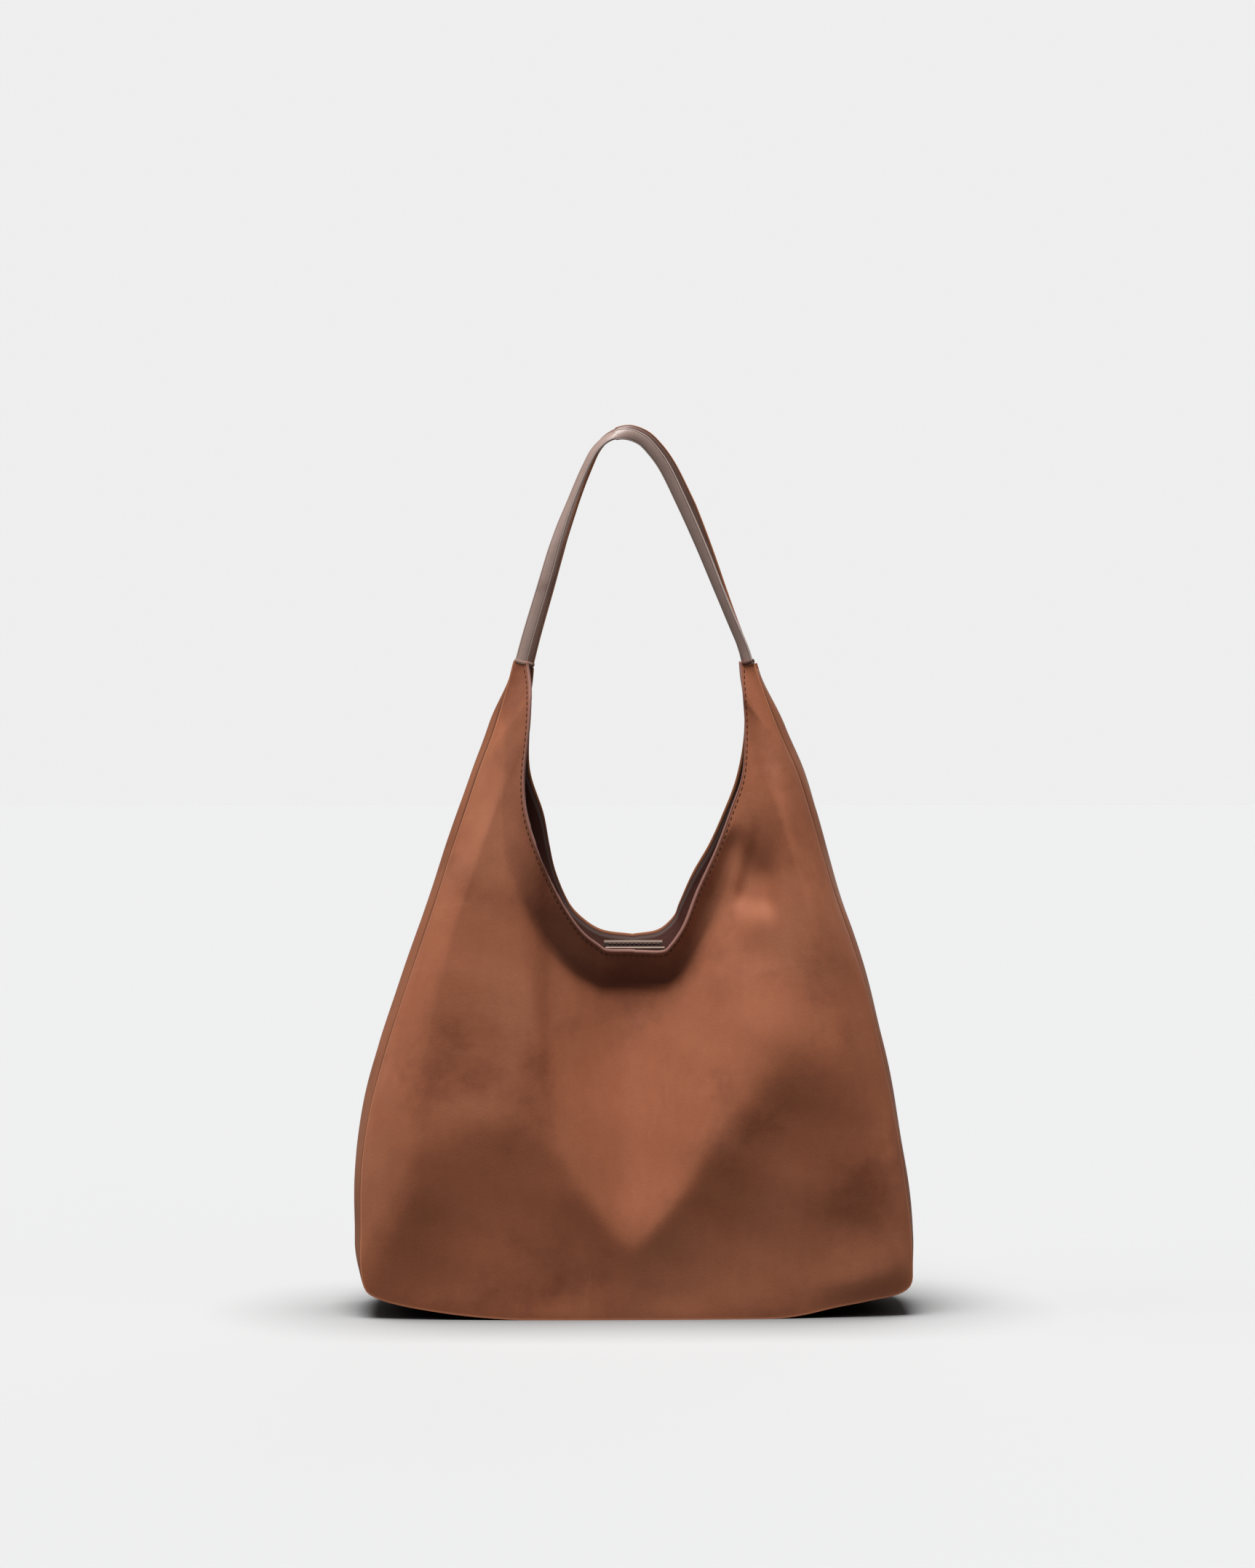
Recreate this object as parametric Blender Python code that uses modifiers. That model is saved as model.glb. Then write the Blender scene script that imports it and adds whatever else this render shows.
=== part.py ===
"""A leather hobo bag: two panels with pointed arms, side gussets, a stiffened base, a lining, two straps and a magnetic closure.

Metres, +Z up. The origin is the middle of the base, on the surface that the bag stands on. The front faces -Y.
Every sewn layer is a sheet laid on one shared surface, at its own depth below the outside, and then given its thickness.
"""

import math

import bmesh
import bpy
from mathutils import Vector
from mathutils.geometry import interpolate_bezier

# Driving dimensions of the body
BODY_WIDTH = 0.374  # between the side seams, at the widest
BODY_HEIGHT = 0.4414  # base to the arm tips
TIP_SPAN = 0.163  # between the outer edges of the two arm tips
TIP_WIDTH = 0.0084  # one arm tip, across the front
WIDEST_HEIGHT = 0.060
CORNER_WIDTH = 0.050  # the base corner is a quarter ellipse, this wide and high
CORNER_HEIGHT = 0.030
SIDE_TOP_HANDLE = (0.042, 0.100)  # how far the side seam runs out and down as it leaves the tip
SIDE_LOW_HANDLE = 0.105  # how far it runs straight up from its widest point
BASE_DEPTH = 0.116  # at the middle of the base, gusset seam to gusset seam
END_DEPTH = 0.094  # the same at the ends of the base
TIP_DEPTH = 0.024  # between the front and back panels at the arm tips

# The mouth
FRONT_RIM_HEIGHT = 0.2445
BACK_RIM_HEIGHT = 0.2535
CLOSURE_SPAN = 0.041  # the straight middle of the rim
RIM_TOP_HANDLE = (0.006, -0.071)  # from the inner tip corner
RIM_LOW_HANDLE_LEFT = (0.044, 0.020)  # outward and up from the end of the straight middle
RIM_LOW_HANDLE_RIGHT = (0.036, 0.026)

# The relief of the soft panels
PUFF = 0.008  # how far a panel stands proud of its seam
PUFF_REACH = 0.026  # over this distance from the seam
FULL_PUFF_WIDTH = 0.040  # an arm narrower than this puffs less
FRONT_HOLLOW = 0.034  # the panel sinks this much below the rim
BACK_HOLLOW = 0.031
HOLLOW_FOOT = 0.040  # height where the hollow runs out
HOLLOW_FOOT_HALF_WIDTH = 0.024
HOLLOW_TOP_HALF_WIDTH = 0.082
RIM_FLARE = 0.014  # the stiffened rim leans out this much over the facing's width
FLARE_HALF_WIDTH = 0.075
GUSSET_BOW = 0.003  # the side gussets bow outward

# Layers
LEATHER = 0.0016
FACING = 0.0012
FACING_WIDTH = 0.022
FACING_SHARE = 0.5  # on a narrow arm the facing takes this share of the width
LINING = 0.0006
LINING_MIN_WIDTH = 0.020  # the lining starts where an arm is this wide
BOARD = 0.0015
LAYER_GAP = 0.0009
PIECE_GAP = 0.0003
RIM_SETBACK = 0.0008  # the facing stops this far below the rim
BOARD_MARGIN = 0.005

# Straps
STRAP_WIDTH = 0.0090
STRAP_THICKNESS = 0.0034
STRAP_LEATHER = 0.0010
CORE_WIDTH = 0.0052
CORE_THICKNESS = 0.0006
STRAP_LEAN = -0.005  # the apex's X
STRAP_RISE = 0.1526  # the apex's centreline above the arm tips
STRAP_APEX_Y = 0.0034
STRAP_RISE_HANDLE = (0.0265, 0.090)  # inward and up from each tip
STRAP_APEX_HANDLE_LEFT = 0.021
STRAP_APEX_HANDLE_RIGHT = 0.027
STRAP_CHAMFER = 0.0009
KEEPER_HEIGHT = 0.0036
KEEPER_LEATHER = 0.0008
KEEPER_GAP = 0.0007

# Closure
TAB_WIDTH = 0.040
TAB_HEIGHT = 0.028  # the front tab; the back tab hangs from a higher rim to the same level
TAB_THICKNESS = 0.0015
TAB_DROP = 0.0010  # the tab's top edge below the rim
SNAP_RADIUS = 0.0070
SOCKET_THICKNESS = 0.0030
SOCKET_HOLE_RADIUS = 0.0029
STUD_BASE_THICKNESS = 0.0015
STUD_RADIUS = 0.0024
STUD_LENGTH = 0.0020

# How finely the sheets are divided
SIDE_STEPS = 12
CORNER_STEPS = 5
BASE_STEPS = 4
PANEL_STEPS = 4  # between the facing's edge and the last row
LAST_ROW = 0.010  # the last row before the seam is this far from it
LAST_ROW_SHARE = 0.25
STRAP_STEPS = 24
CURVE_STEPS = 48

FRONT, BACK = -1, 1
LEFT, RIGHT = -1, 1


def material(name, color, roughness, metallic=0.0):
    made = bpy.data.materials.new(name)
    made.use_nodes = True
    shader = made.node_tree.nodes["Principled BSDF"]
    shader.inputs["Base Color"].default_value = (*color, 1.0)
    shader.inputs["Roughness"].default_value = roughness
    shader.inputs["Metallic"].default_value = metallic
    return made


# ---------------------------------------------------------------- outlines


def bezier(start, handle_a, handle_b, end):
    points = interpolate_bezier(
        Vector(start).to_3d(), Vector(handle_a).to_3d(), Vector(handle_b).to_3d(), Vector(end).to_3d(), CURVE_STEPS
    )
    return [Vector((p.x, p.y)) for p in points]


def lengths(points):
    """The distance along a line of points to each of them."""
    run = [0.0]
    for a, b in zip(points, points[1:]):
        run.append(run[-1] + (b - a).length)
    return run


def along(points, run, distance):
    """The point at a distance along a line of points."""
    distance = min(max(distance, 0.0), run[-1])
    for index in range(1, len(run)):
        if distance <= run[index] or index == len(run) - 1:
            share = (distance - run[index - 1]) / (run[index] - run[index - 1])
            return points[index - 1].lerp(points[index], share)
    return points[-1]


def side_seam():
    """From the outer corner of an arm tip down to the start of the base corner, as (outward, up)."""
    half = BODY_WIDTH / 2
    tip = (TIP_SPAN / 2, BODY_HEIGHT)
    leaves = (tip[0] + SIDE_TOP_HANDLE[0], tip[1] - SIDE_TOP_HANDLE[1])
    arrives = (half, WIDEST_HEIGHT + SIDE_LOW_HANDLE)
    return bezier(tip, leaves, arrives, (half, WIDEST_HEIGHT)) + [Vector((half, CORNER_HEIGHT))]


def base_corner():
    centre = Vector((BODY_WIDTH / 2 - CORNER_WIDTH, CORNER_HEIGHT))
    turn = [math.pi / 2 * step / CURVE_STEPS for step in range(1, CURVE_STEPS + 1)]
    return [centre + Vector((CORNER_WIDTH * math.cos(a), -CORNER_HEIGHT * math.sin(a))) for a in turn]


SEAM = side_seam() + base_corner() + [Vector((0.0, 0.0))]
SEAM_RUN = lengths(SEAM)
CORNER_START = lengths(side_seam())[-1]
CORNER_END = lengths(side_seam() + base_corner())[-1]


def rim_line(face, side):
    """The mouth's edge from an arm tip's inner corner to the middle, as (outward, up)."""
    height = FRONT_RIM_HEIGHT if face == FRONT else BACK_RIM_HEIGHT
    low = RIM_LOW_HANDLE_LEFT if side == LEFT else RIM_LOW_HANDLE_RIGHT
    tip = (TIP_SPAN / 2 - TIP_WIDTH, BODY_HEIGHT)
    closure = (CLOSURE_SPAN / 2, height)
    leaves = (tip[0] + RIM_TOP_HANDLE[0], tip[1] + RIM_TOP_HANDLE[1])
    arrives = (closure[0] + low[0], closure[1] + low[1])
    return bezier(tip, leaves, arrives, closure) + [Vector((0.0, height))]


RIMS = {(face, side): rim_line(face, side) for face in (FRONT, BACK) for side in (LEFT, RIGHT)}
RIM_RUNS = {key: lengths(line) for key, line in RIMS.items()}


def seam_point(share):
    return along(SEAM, SEAM_RUN, share * SEAM_RUN[-1])


def stations(first=0.0, last=1.0):
    """Shares of the seam's length, from an arm tip to the middle of the base, closer together round the corner."""
    total = SEAM_RUN[-1]
    marks = [CORNER_START * step / SIDE_STEPS for step in range(SIDE_STEPS)]
    marks += [CORNER_START + (CORNER_END - CORNER_START) * step / CORNER_STEPS for step in range(CORNER_STEPS)]
    marks += [CORNER_END + (total - CORNER_END) * step / BASE_STEPS for step in range(BASE_STEPS + 1)]
    inner = [mark / total for mark in marks if first < mark / total < last]
    return [first] + inner + [last]


def both_sides(shares):
    """(side, share) from the left arm tip round the base to the right arm tip."""
    return [(LEFT, share) for share in shares] + [(RIGHT, share) for share in reversed(shares[:-1])]


# ---------------------------------------------------------------- the shared surface


def seam_depth(outward, height):
    """Half the bag's depth at the seams, for a place seen from the front."""
    rise = min(max(height / BODY_HEIGHT, 0.0), 1.0)
    middle = TIP_DEPTH / 2 + (BASE_DEPTH - TIP_DEPTH) / 2 * (1 - rise)
    ends = (BASE_DEPTH - END_DEPTH) / 2 * (1 - rise)
    return middle - ends * min(1.0, 2 * outward / BODY_WIDTH) ** 2.5


def hollow(face, outward, height):
    """How far a panel sinks towards the middle below the mouth."""
    deepest, rim = (FRONT_HOLLOW, FRONT_RIM_HEIGHT) if face == FRONT else (BACK_HOLLOW, BACK_RIM_HEIGHT)
    rise = min(max((height - HOLLOW_FOOT) / (rim - HOLLOW_FOOT), 0.0), 1.0)
    half_width = HOLLOW_FOOT_HALF_WIDTH + (HOLLOW_TOP_HALF_WIDTH - HOLLOW_FOOT_HALF_WIDTH) * rise
    across = min(1.0, outward / half_width)
    return deepest * rise**0.9 * (0.5 + 0.5 * math.cos(math.pi * across))


def flare(outward, below_rim):
    """How far the rim leans out, where the closure stiffens it."""
    middle = 0.5 + 0.5 * math.cos(math.pi * min(1.0, outward / FLARE_HALF_WIDTH))
    return RIM_FLARE * middle * max(0.0, 1 - below_rim / FACING_WIDTH)


def panel_place(face, side, share, from_rim):
    """A place on a panel's outside. from_rim is 0 at the mouth and 1 at the seam."""
    seam = seam_point(share)
    line, run = RIMS[face, side], RIM_RUNS[face, side]
    rim = along(line, run, share * run[-1])
    flat = rim.lerp(seam, from_rim)
    width = (seam - rim).length
    inward = min(1.0, (1 - from_rim) * width / PUFF_REACH)
    narrow = min(1.0, max(0.0, width - 2 * TIP_WIDTH) / FULL_PUFF_WIDTH)
    puff = PUFF * narrow * (1 - (1 - inward) ** 2)
    fade = min(1.0, inward * 2)
    relief = flare(flat.x, from_rim * width) - hollow(face, flat.x, flat.y)
    depth = seam_depth(flat.x, flat.y) + LEATHER + PIECE_GAP + puff + relief * fade
    return Vector((side * flat.x, face * depth, flat.y))


def panel_width(face, side, share):
    line, run = RIMS[face, side], RIM_RUNS[face, side]
    return (seam_point(share) - along(line, run, share * run[-1])).length


def panel_rows(width):
    """Where a panel of this width is divided between the mouth and the seam; the facing ends at the second place."""
    edge = min(FACING_WIDTH / width, FACING_SHARE)
    last = 1 - min(LAST_ROW / width, LAST_ROW_SHARE)
    return [0.0] + [edge + (last - edge) * step / PANEL_STEPS for step in range(PANEL_STEPS + 1)] + [1.0]


def panel_layer(face, side, share, from_rim, depth):
    """The same place, at a depth below the outside."""
    step = 0.004
    here = panel_place(face, side, share, from_rim)
    low, high = max(0.0, share - step), min(1.0, share + step)
    near, far = max(0.0, from_rim - step), min(1.0, from_rim + step)
    lengthwise = panel_place(face, side, high, from_rim) - panel_place(face, side, low, from_rim)
    if share > 1 - step:
        lengthwise = Vector((-side, 0.0, 0.0))
    crosswise = panel_place(face, side, share, far) - panel_place(face, side, share, near)
    inward = lengthwise.cross(crosswise).normalized()
    if inward.y * face > 0:
        inward.negate()
    return here + inward * depth


def gusset_place(side, share, across, depth):
    """A place on the side or the base: across runs from -1 at the front seam to 1 at the back seam."""
    step = 0.004
    here = seam_point(share)
    tangent = seam_point(min(1.0, share + step)) - seam_point(max(0.0, share - step))
    outward = Vector((-tangent.y, tangent.x)).normalized()
    bow = GUSSET_BOW * (1 - across * across) * math.sin(math.pi * min(1.0, share * SEAM_RUN[-1] / CORNER_START))
    spot = here + outward * (bow - depth)
    half = seam_depth(here.x, here.y) - PIECE_GAP
    return Vector((side * spot.x, across * half, spot.y))


# ---------------------------------------------------------------- making objects


def finish_object(bm, name, surface):
    mesh = bpy.data.meshes.new(name)
    bm.to_mesh(mesh)
    bm.free()
    made = bpy.data.objects.new(name, mesh)
    made.data.materials.append(surface)
    BAG.objects.link(made)
    return made


def sheet(name, place, columns, rows, outward, thickness, surface):
    """A grid laid on place(column, row), given its thickness on the side away from outward."""
    bm = bmesh.new()
    bmesh.ops.create_grid(bm, x_segments=columns, y_segments=rows, size=1.0)
    for vert in bm.verts:
        column = round((vert.co.x + 1) / 2 * columns)
        row = round((vert.co.y + 1) / 2 * rows)
        vert.co = place(column, row)
    bm.normal_update()
    facing = sum((face.normal.dot(outward(face.calc_center_median())) for face in bm.faces), 0.0)
    if facing < 0:
        bmesh.ops.reverse_faces(bm, faces=bm.faces)
    made = finish_object(bm, name, surface)
    shell = made.modifiers.new("thickness", "SOLIDIFY")
    shell.thickness = thickness
    shell.offset = -1.0
    return made


def close_seam(tube):
    """Joins the two meeting edges of a sheet that goes once round, before it gets its thickness."""
    weld = tube.modifiers.new("seam", "WELD")
    weld.merge_threshold = 0.0001
    tube.modifiers.move(1, 0)


def panel_sheet(name, face, shares, rows_at, depth, thickness, surface):
    """A layer of one panel. rows_at gives the rows of from_rim for a width."""
    marks = both_sides(shares)
    columns = [(side, share, rows_at(panel_width(face, side, share))) for side, share in marks]

    def place(column, row):
        side, share, rows = columns[column]
        return panel_layer(face, side, share, rows[row], depth)

    steps = len(columns[0][2]) - 1
    return sheet(name, place, len(marks) - 1, steps, lambda _: Vector((0, face, 0)), thickness, surface)


def gusset_sheet(name, marks, rows, depth, margin, thickness, surface):
    """A layer of the side or base strip, with a margin from each seam."""

    def place(column, row):
        side, share = marks[column]
        spot = gusset_place(side, share, 2 * row / rows - 1, depth)
        spot.y *= 1 - margin / max(abs(gusset_place(side, share, 1, depth).y), margin * 2)
        return spot

    def outward(centre):
        return Vector((centre.x, 0, centre.z - BODY_HEIGHT / 2))

    return sheet(name, place, len(marks) - 1, rows, outward, thickness, surface)


def into_bag(made, name, surface):
    made.name = name
    made.data.name = name
    made.data.materials.append(surface)
    for owner in list(made.users_collection):
        owner.objects.unlink(made)
    BAG.objects.link(made)
    return made


def disc(name, radius, tab, start, end, surface):
    """A round plate on a tab, between two distances along the tab's inward normal."""
    centre, inward = tab
    bpy.ops.mesh.primitive_cylinder_add(
        vertices=24, radius=radius, depth=end - start, location=centre + inward * (start + end) / 2
    )
    made = bpy.context.object
    made.rotation_euler = inward.to_track_quat("Z", "X").to_euler()
    return into_bag(made, name, surface)


def cut(target, cutter, operation="DIFFERENCE"):
    for owner in list(cutter.users_collection):
        owner.objects.unlink(cutter)
    CUTTERS.objects.link(cutter)
    cutter.hide_render = True
    cutter.display_type = "WIRE"
    boolean = target.modifiers.new(operation.lower(), "BOOLEAN")
    boolean.operation = operation
    boolean.object = cutter


# ---------------------------------------------------------------- the pieces


def make_panels(leather):
    for face, name in ((FRONT, "front_panel"), (BACK, "back_panel")):
        panel_sheet(name, face, stations(), panel_rows, 0.0, LEATHER, leather)


def make_facings(leather):
    def rows_at(width):
        return [RIM_SETBACK / width, panel_rows(width)[1]]

    for face, name in ((FRONT, "front_facing"), (BACK, "back_facing")):
        panel_sheet(name, face, stations(), rows_at, LEATHER + LAYER_GAP, FACING, leather)


def make_linings(cloth):
    margin = LEATHER + LAYER_GAP + PIECE_GAP

    def rows_at(width):
        rows = panel_rows(width)[1:]
        return [rows[0] + LAYER_GAP / width] + rows[1:-1] + [1 - margin / width]

    for face, name in ((FRONT, "front_lining"), (BACK, "back_lining")):
        shares = [s for s in stations() if min(panel_width(face, side, s) for side in (LEFT, RIGHT)) > LINING_MIN_WIDTH]
        panel_sheet(name, face, shares, rows_at, LEATHER + LAYER_GAP, LINING, cloth)


def make_gussets(leather, cloth):
    total = SEAM_RUN[-1]
    top = (KEEPER_HEIGHT + 0.003) / total
    corner = CORNER_END / total
    joint = PIECE_GAP / total
    for side, name in ((LEFT, "left_gusset"), (RIGHT, "right_gusset")):
        marks = [(side, share) for share in stations(top, corner - joint)]
        gusset_sheet(name, marks, 4, 0.0, 0.0, LEATHER, leather)
    base = [share for share in stations(corner) if share >= corner]
    gusset_sheet("base_panel", both_sides(base), 4, 0.0, 0.0, LEATHER, leather)
    depth = LEATHER + PIECE_GAP + BOARD + PIECE_GAP
    lining_top = 0.045 / total
    gusset_sheet("gusset_lining", both_sides(stations(lining_top)), 4, depth, FACING + LAYER_GAP + PIECE_GAP, LINING, cloth)


def make_base_board(board):
    """A stiff sheet on the base, inside its corners and seams."""
    corner = CORNER_END / SEAM_RUN[-1]
    shares = [share for share in stations(corner) if share >= corner]
    depth = LEATHER + PIECE_GAP
    gusset_sheet("base_board", both_sides(shares), 2, depth, BOARD_MARGIN, BOARD, board)


def tip_section(face, side, height):
    """(inner, outer) X and (outer, inner) Y of an arm tip's layers at a height just below the tip."""
    drop = (BODY_HEIGHT - height) / SEAM_RUN[-1]
    outer = panel_place(face, side, drop, 1.0)
    inner = panel_place(face, side, drop, 0.0)
    outside = max(abs(outer.y), abs(inner.y))
    inside = min(abs(outer.y), abs(inner.y)) - LEATHER - LAYER_GAP - FACING
    return abs(inner.x), abs(outer.x), outside, inside


def make_keeper(name, face, side, leather):
    """A leather wrap round an arm tip, where the strap is sewn on."""
    heights = (BODY_HEIGHT - KEEPER_HEIGHT, BODY_HEIGHT)

    def place(column, row):
        inner, outer, outside, inside = tip_section(face, side, heights[row])
        inner, outer = inner - KEEPER_GAP, outer + KEEPER_GAP
        outside, inside = outside + KEEPER_GAP, inside - KEEPER_GAP
        corners = ((inner, outside), (outer, outside), (outer, inside), (inner, inside), (inner, outside))
        x, y = corners[column]
        return Vector((side * x, face * y, heights[row]))

    middle = tip_section(face, side, BODY_HEIGHT)

    def outward(centre):
        return centre - Vector((side * (middle[0] + middle[1]) / 2, face * (middle[2] + middle[3]) / 2, centre.z))

    wrap = sheet(name, place, 4, 1, outward, KEEPER_LEATHER, leather)
    wrap.modifiers["thickness"].offset = 1.0
    close_seam(wrap)


def strap_line(side):
    """The strap's centreline from an arm tip to the apex, as (X, Z)."""
    inner, outer, _, _ = tip_section(FRONT, side, BODY_HEIGHT)
    foot = (side * (inner + outer) / 2, BODY_HEIGHT + PIECE_GAP * 2)
    rise = (foot[0] - side * STRAP_RISE_HANDLE[0], foot[1] + STRAP_RISE_HANDLE[1])
    reach = STRAP_APEX_HANDLE_LEFT if side == LEFT else STRAP_APEX_HANDLE_RIGHT
    apex = (STRAP_LEAN, BODY_HEIGHT + STRAP_RISE)
    return bezier(foot, rise, (apex[0] + side * reach, apex[1]), apex)


def strap_station(face, column):
    """(centre, in-plane direction across the strap) at a step along the whole strap."""
    line = strap_line(LEFT) + list(reversed(strap_line(RIGHT)))[1:]
    run = lengths(line)
    distance = run[-1] * column / STRAP_STEPS
    here = along(line, run, distance)
    tangent = along(line, run, distance + 0.002) - along(line, run, distance - 0.002)
    _, _, outside, inside = tip_section(face, LEFT, BODY_HEIGHT)
    foot_y = (outside + inside) / 2
    rise = (here.y - BODY_HEIGHT) / STRAP_RISE
    y = face * (foot_y + (STRAP_APEX_Y - foot_y) * math.sin(math.pi / 2 * min(max(rise, 0.0), 1.0)))
    across = Vector((-tangent.y, 0, tangent.x)).normalized()
    if column in (0, STRAP_STEPS):
        across = Vector((-1 if column == 0 else 1, 0, 0))
    return Vector((here.x, y, here.y)), across


def strap_section():
    """The sleeve's outline as (across, through), a rectangle with its corners cut."""
    x, y = STRAP_WIDTH / 2, STRAP_THICKNESS / 2
    c = STRAP_CHAMFER
    return ((x - c, -y), (x, c - y), (x, y - c), (x - c, y), (c - x, y), (-x, y - c), (-x, c - y), (c - x, -y))


def make_straps(leather, tape):
    section = strap_section()
    for face, name in ((FRONT, "front_strap"), (BACK, "back_strap")):
        places = [strap_station(face, column) for column in range(STRAP_STEPS + 1)]

        def sleeve_place(column, row, places=places):
            centre, across = places[column]
            x, y = section[row % len(section)]
            return centre + across * x + Vector((0, y, 0))

        def core_place(column, row, places=places, face=face):
            centre, across = places[column]
            lift = PIECE_GAP if column in (0, STRAP_STEPS) else 0.0
            half = CORE_WIDTH / 2 * (1 if row else -1)
            return centre + across * half + Vector((0, face * CORE_THICKNESS / 2, lift))

        def outward(centre, places=places):
            nearest = min(places, key=lambda place: (place[0] - centre).length)
            return centre - nearest[0]

        sleeve = sheet(name, sleeve_place, STRAP_STEPS, len(section), outward, STRAP_LEATHER, leather)
        close_seam(sleeve)
        sheet(name + "_core", core_place, STRAP_STEPS, 1, lambda _, face=face: Vector((0, face, 0)), CORE_THICKNESS, tape)


def make_closure(leather, metal):
    """Each tab lies against its facing, parallel to the leaning rim, and carries one half of the snap."""
    for face, name in ((FRONT, "front"), (BACK, "back")):
        width = panel_width(face, RIGHT, 1.0)
        depth = LEATHER + LAYER_GAP + FACING + PIECE_GAP
        top = panel_layer(face, RIGHT, 1.0, TAB_DROP / width, depth)
        down = (panel_layer(face, RIGHT, 1.0, FACING_WIDTH / width, depth) - top).normalized()
        inward = Vector((0.0, down.z, -down.y)) * face
        foot = FRONT_RIM_HEIGHT - TAB_HEIGHT
        height = (top.z - foot) / -down.z
        bpy.ops.mesh.primitive_cube_add(size=1, location=top + down * height / 2 + inward * TAB_THICKNESS / 2)
        tab = bpy.context.object
        tab.scale = (TAB_WIDTH, TAB_THICKNESS, height)
        tab.rotation_euler = (math.atan2(down.y, -down.z), 0, 0)
        into_bag(tab, name + "_tab", leather)
        centre = top + down * (height - TAB_HEIGHT / 2) + inward * TAB_THICKNESS
        seat = (centre, inward)
        if face == FRONT:
            end = PIECE_GAP + SOCKET_THICKNESS
            socket = disc("front_snap_socket", SNAP_RADIUS, seat, PIECE_GAP, end, metal)
            hole_depth = STUD_LENGTH + PIECE_GAP
            hole = disc("socket_hole", SOCKET_HOLE_RADIUS, seat, end - hole_depth, end + hole_depth, metal)
            cut(socket, hole)
        else:
            end = PIECE_GAP + STUD_BASE_THICKNESS
            stud = disc("back_snap_stud", SNAP_RADIUS, seat, PIECE_GAP, end, metal)
            post = disc("stud_post", STUD_RADIUS, seat, end - STUD_BASE_THICKNESS / 2, end + STUD_LENGTH, metal)
            cut(stud, post, "UNION")


for old in list(bpy.data.objects):
    bpy.data.objects.remove(old)
BAG = bpy.data.collections.new("hobo_bag")
CUTTERS = bpy.data.collections.new("cutters")
bpy.context.scene.collection.children.link(BAG)
bpy.context.scene.collection.children.link(CUTTERS)

BODY_LEATHER = material("nubuck leather", (0.33, 0.14, 0.075), 0.75)
STRAP_LEATHER_FINISH = material("smooth leather", (0.16, 0.09, 0.065), 0.4)
LINING_CLOTH = material("lining cloth", (0.10, 0.05, 0.035), 0.8)
STIFF_BOARD = material("pressed board", (0.30, 0.22, 0.15), 0.9)
CORE_TAPE = material("woven tape", (0.60, 0.55, 0.48), 0.9)
SNAP_METAL = material("antique brass", (0.45, 0.33, 0.18), 0.35, 1.0)

make_panels(BODY_LEATHER)
make_facings(BODY_LEATHER)
make_linings(LINING_CLOTH)
make_gussets(BODY_LEATHER, LINING_CLOTH)
make_base_board(STIFF_BOARD)
for end_face, face_name in ((FRONT, "front"), (BACK, "back")):
    for end_side, side_name in ((LEFT, "left"), (RIGHT, "right")):
        make_keeper(f"{face_name}_{side_name}_keeper", end_face, end_side, BODY_LEATHER)
make_straps(STRAP_LEATHER_FINISH, CORE_TAPE)
make_closure(BODY_LEATHER, SNAP_METAL)
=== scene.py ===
"""The looks of a leather hobo bag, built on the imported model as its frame."""

import math

import bmesh
import bpy
import numpy as np
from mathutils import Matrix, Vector


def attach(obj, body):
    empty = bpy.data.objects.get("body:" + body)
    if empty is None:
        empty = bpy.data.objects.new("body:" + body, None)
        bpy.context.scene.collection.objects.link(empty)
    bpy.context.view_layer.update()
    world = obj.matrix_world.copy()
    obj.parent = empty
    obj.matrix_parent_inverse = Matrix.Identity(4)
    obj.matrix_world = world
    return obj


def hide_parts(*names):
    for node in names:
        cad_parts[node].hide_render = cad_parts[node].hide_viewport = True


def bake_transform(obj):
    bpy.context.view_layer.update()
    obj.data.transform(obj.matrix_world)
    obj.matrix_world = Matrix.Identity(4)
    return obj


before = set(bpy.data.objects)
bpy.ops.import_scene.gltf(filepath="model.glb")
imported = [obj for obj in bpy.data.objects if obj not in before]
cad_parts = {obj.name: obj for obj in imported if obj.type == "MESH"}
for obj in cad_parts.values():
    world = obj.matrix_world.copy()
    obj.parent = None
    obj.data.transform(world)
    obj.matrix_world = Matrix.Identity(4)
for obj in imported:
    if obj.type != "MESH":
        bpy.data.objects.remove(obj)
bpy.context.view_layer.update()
bpy.ops.object.select_all(action="DESELECT")

FRONT, BACK = -1, 1
LEATHER = 0.0013
LINING = 0.0005
FACING_WIDTH = 0.022
STITCH_LINE = 0.0028  # from the rim to the topstitching
STITCH_PITCH = 0.0043

# Outlines as (outward, up) in metres, from an arm tip to the middle of the base or of the mouth.
SIDE_SEAM = {
    -1: [(0.0825, 0.4414), (0.0872, 0.423), (0.0955, 0.395), (0.1059, 0.367), (0.1153, 0.339), (0.1248, 0.311), (0.1337, 0.283),
         (0.1427, 0.256), (0.1556, 0.218), (0.1685, 0.178), (0.1789, 0.138), (0.1844, 0.099), (0.1848, 0.059), (0.1846, 0.032),
         (0.1812, 0.0185), (0.1730, 0.0135), (0.1576, 0.0092), (0.1380, 0.0058), (0.1207, 0.0034), (0.1000, 0.0014),
         (0.0800, 0.0002), (0.0600, 0.0), (0.0, 0.0)],
    1: [(0.0812, 0.4414), (0.0870, 0.423), (0.0975, 0.395), (0.1097, 0.367), (0.1186, 0.339), (0.1266, 0.311), (0.1350, 0.283),
        (0.1443, 0.256), (0.1563, 0.218), (0.1657, 0.178), (0.1737, 0.138), (0.1800, 0.099), (0.1846, 0.059), (0.1858, 0.036),
        (0.1850, 0.0215), (0.1790, 0.0160), (0.1556, 0.0108), (0.1333, 0.0069), (0.1110, 0.0022), (0.0960, 0.0004),
        (0.0800, 0.0), (0.0, 0.0)],
}
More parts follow.
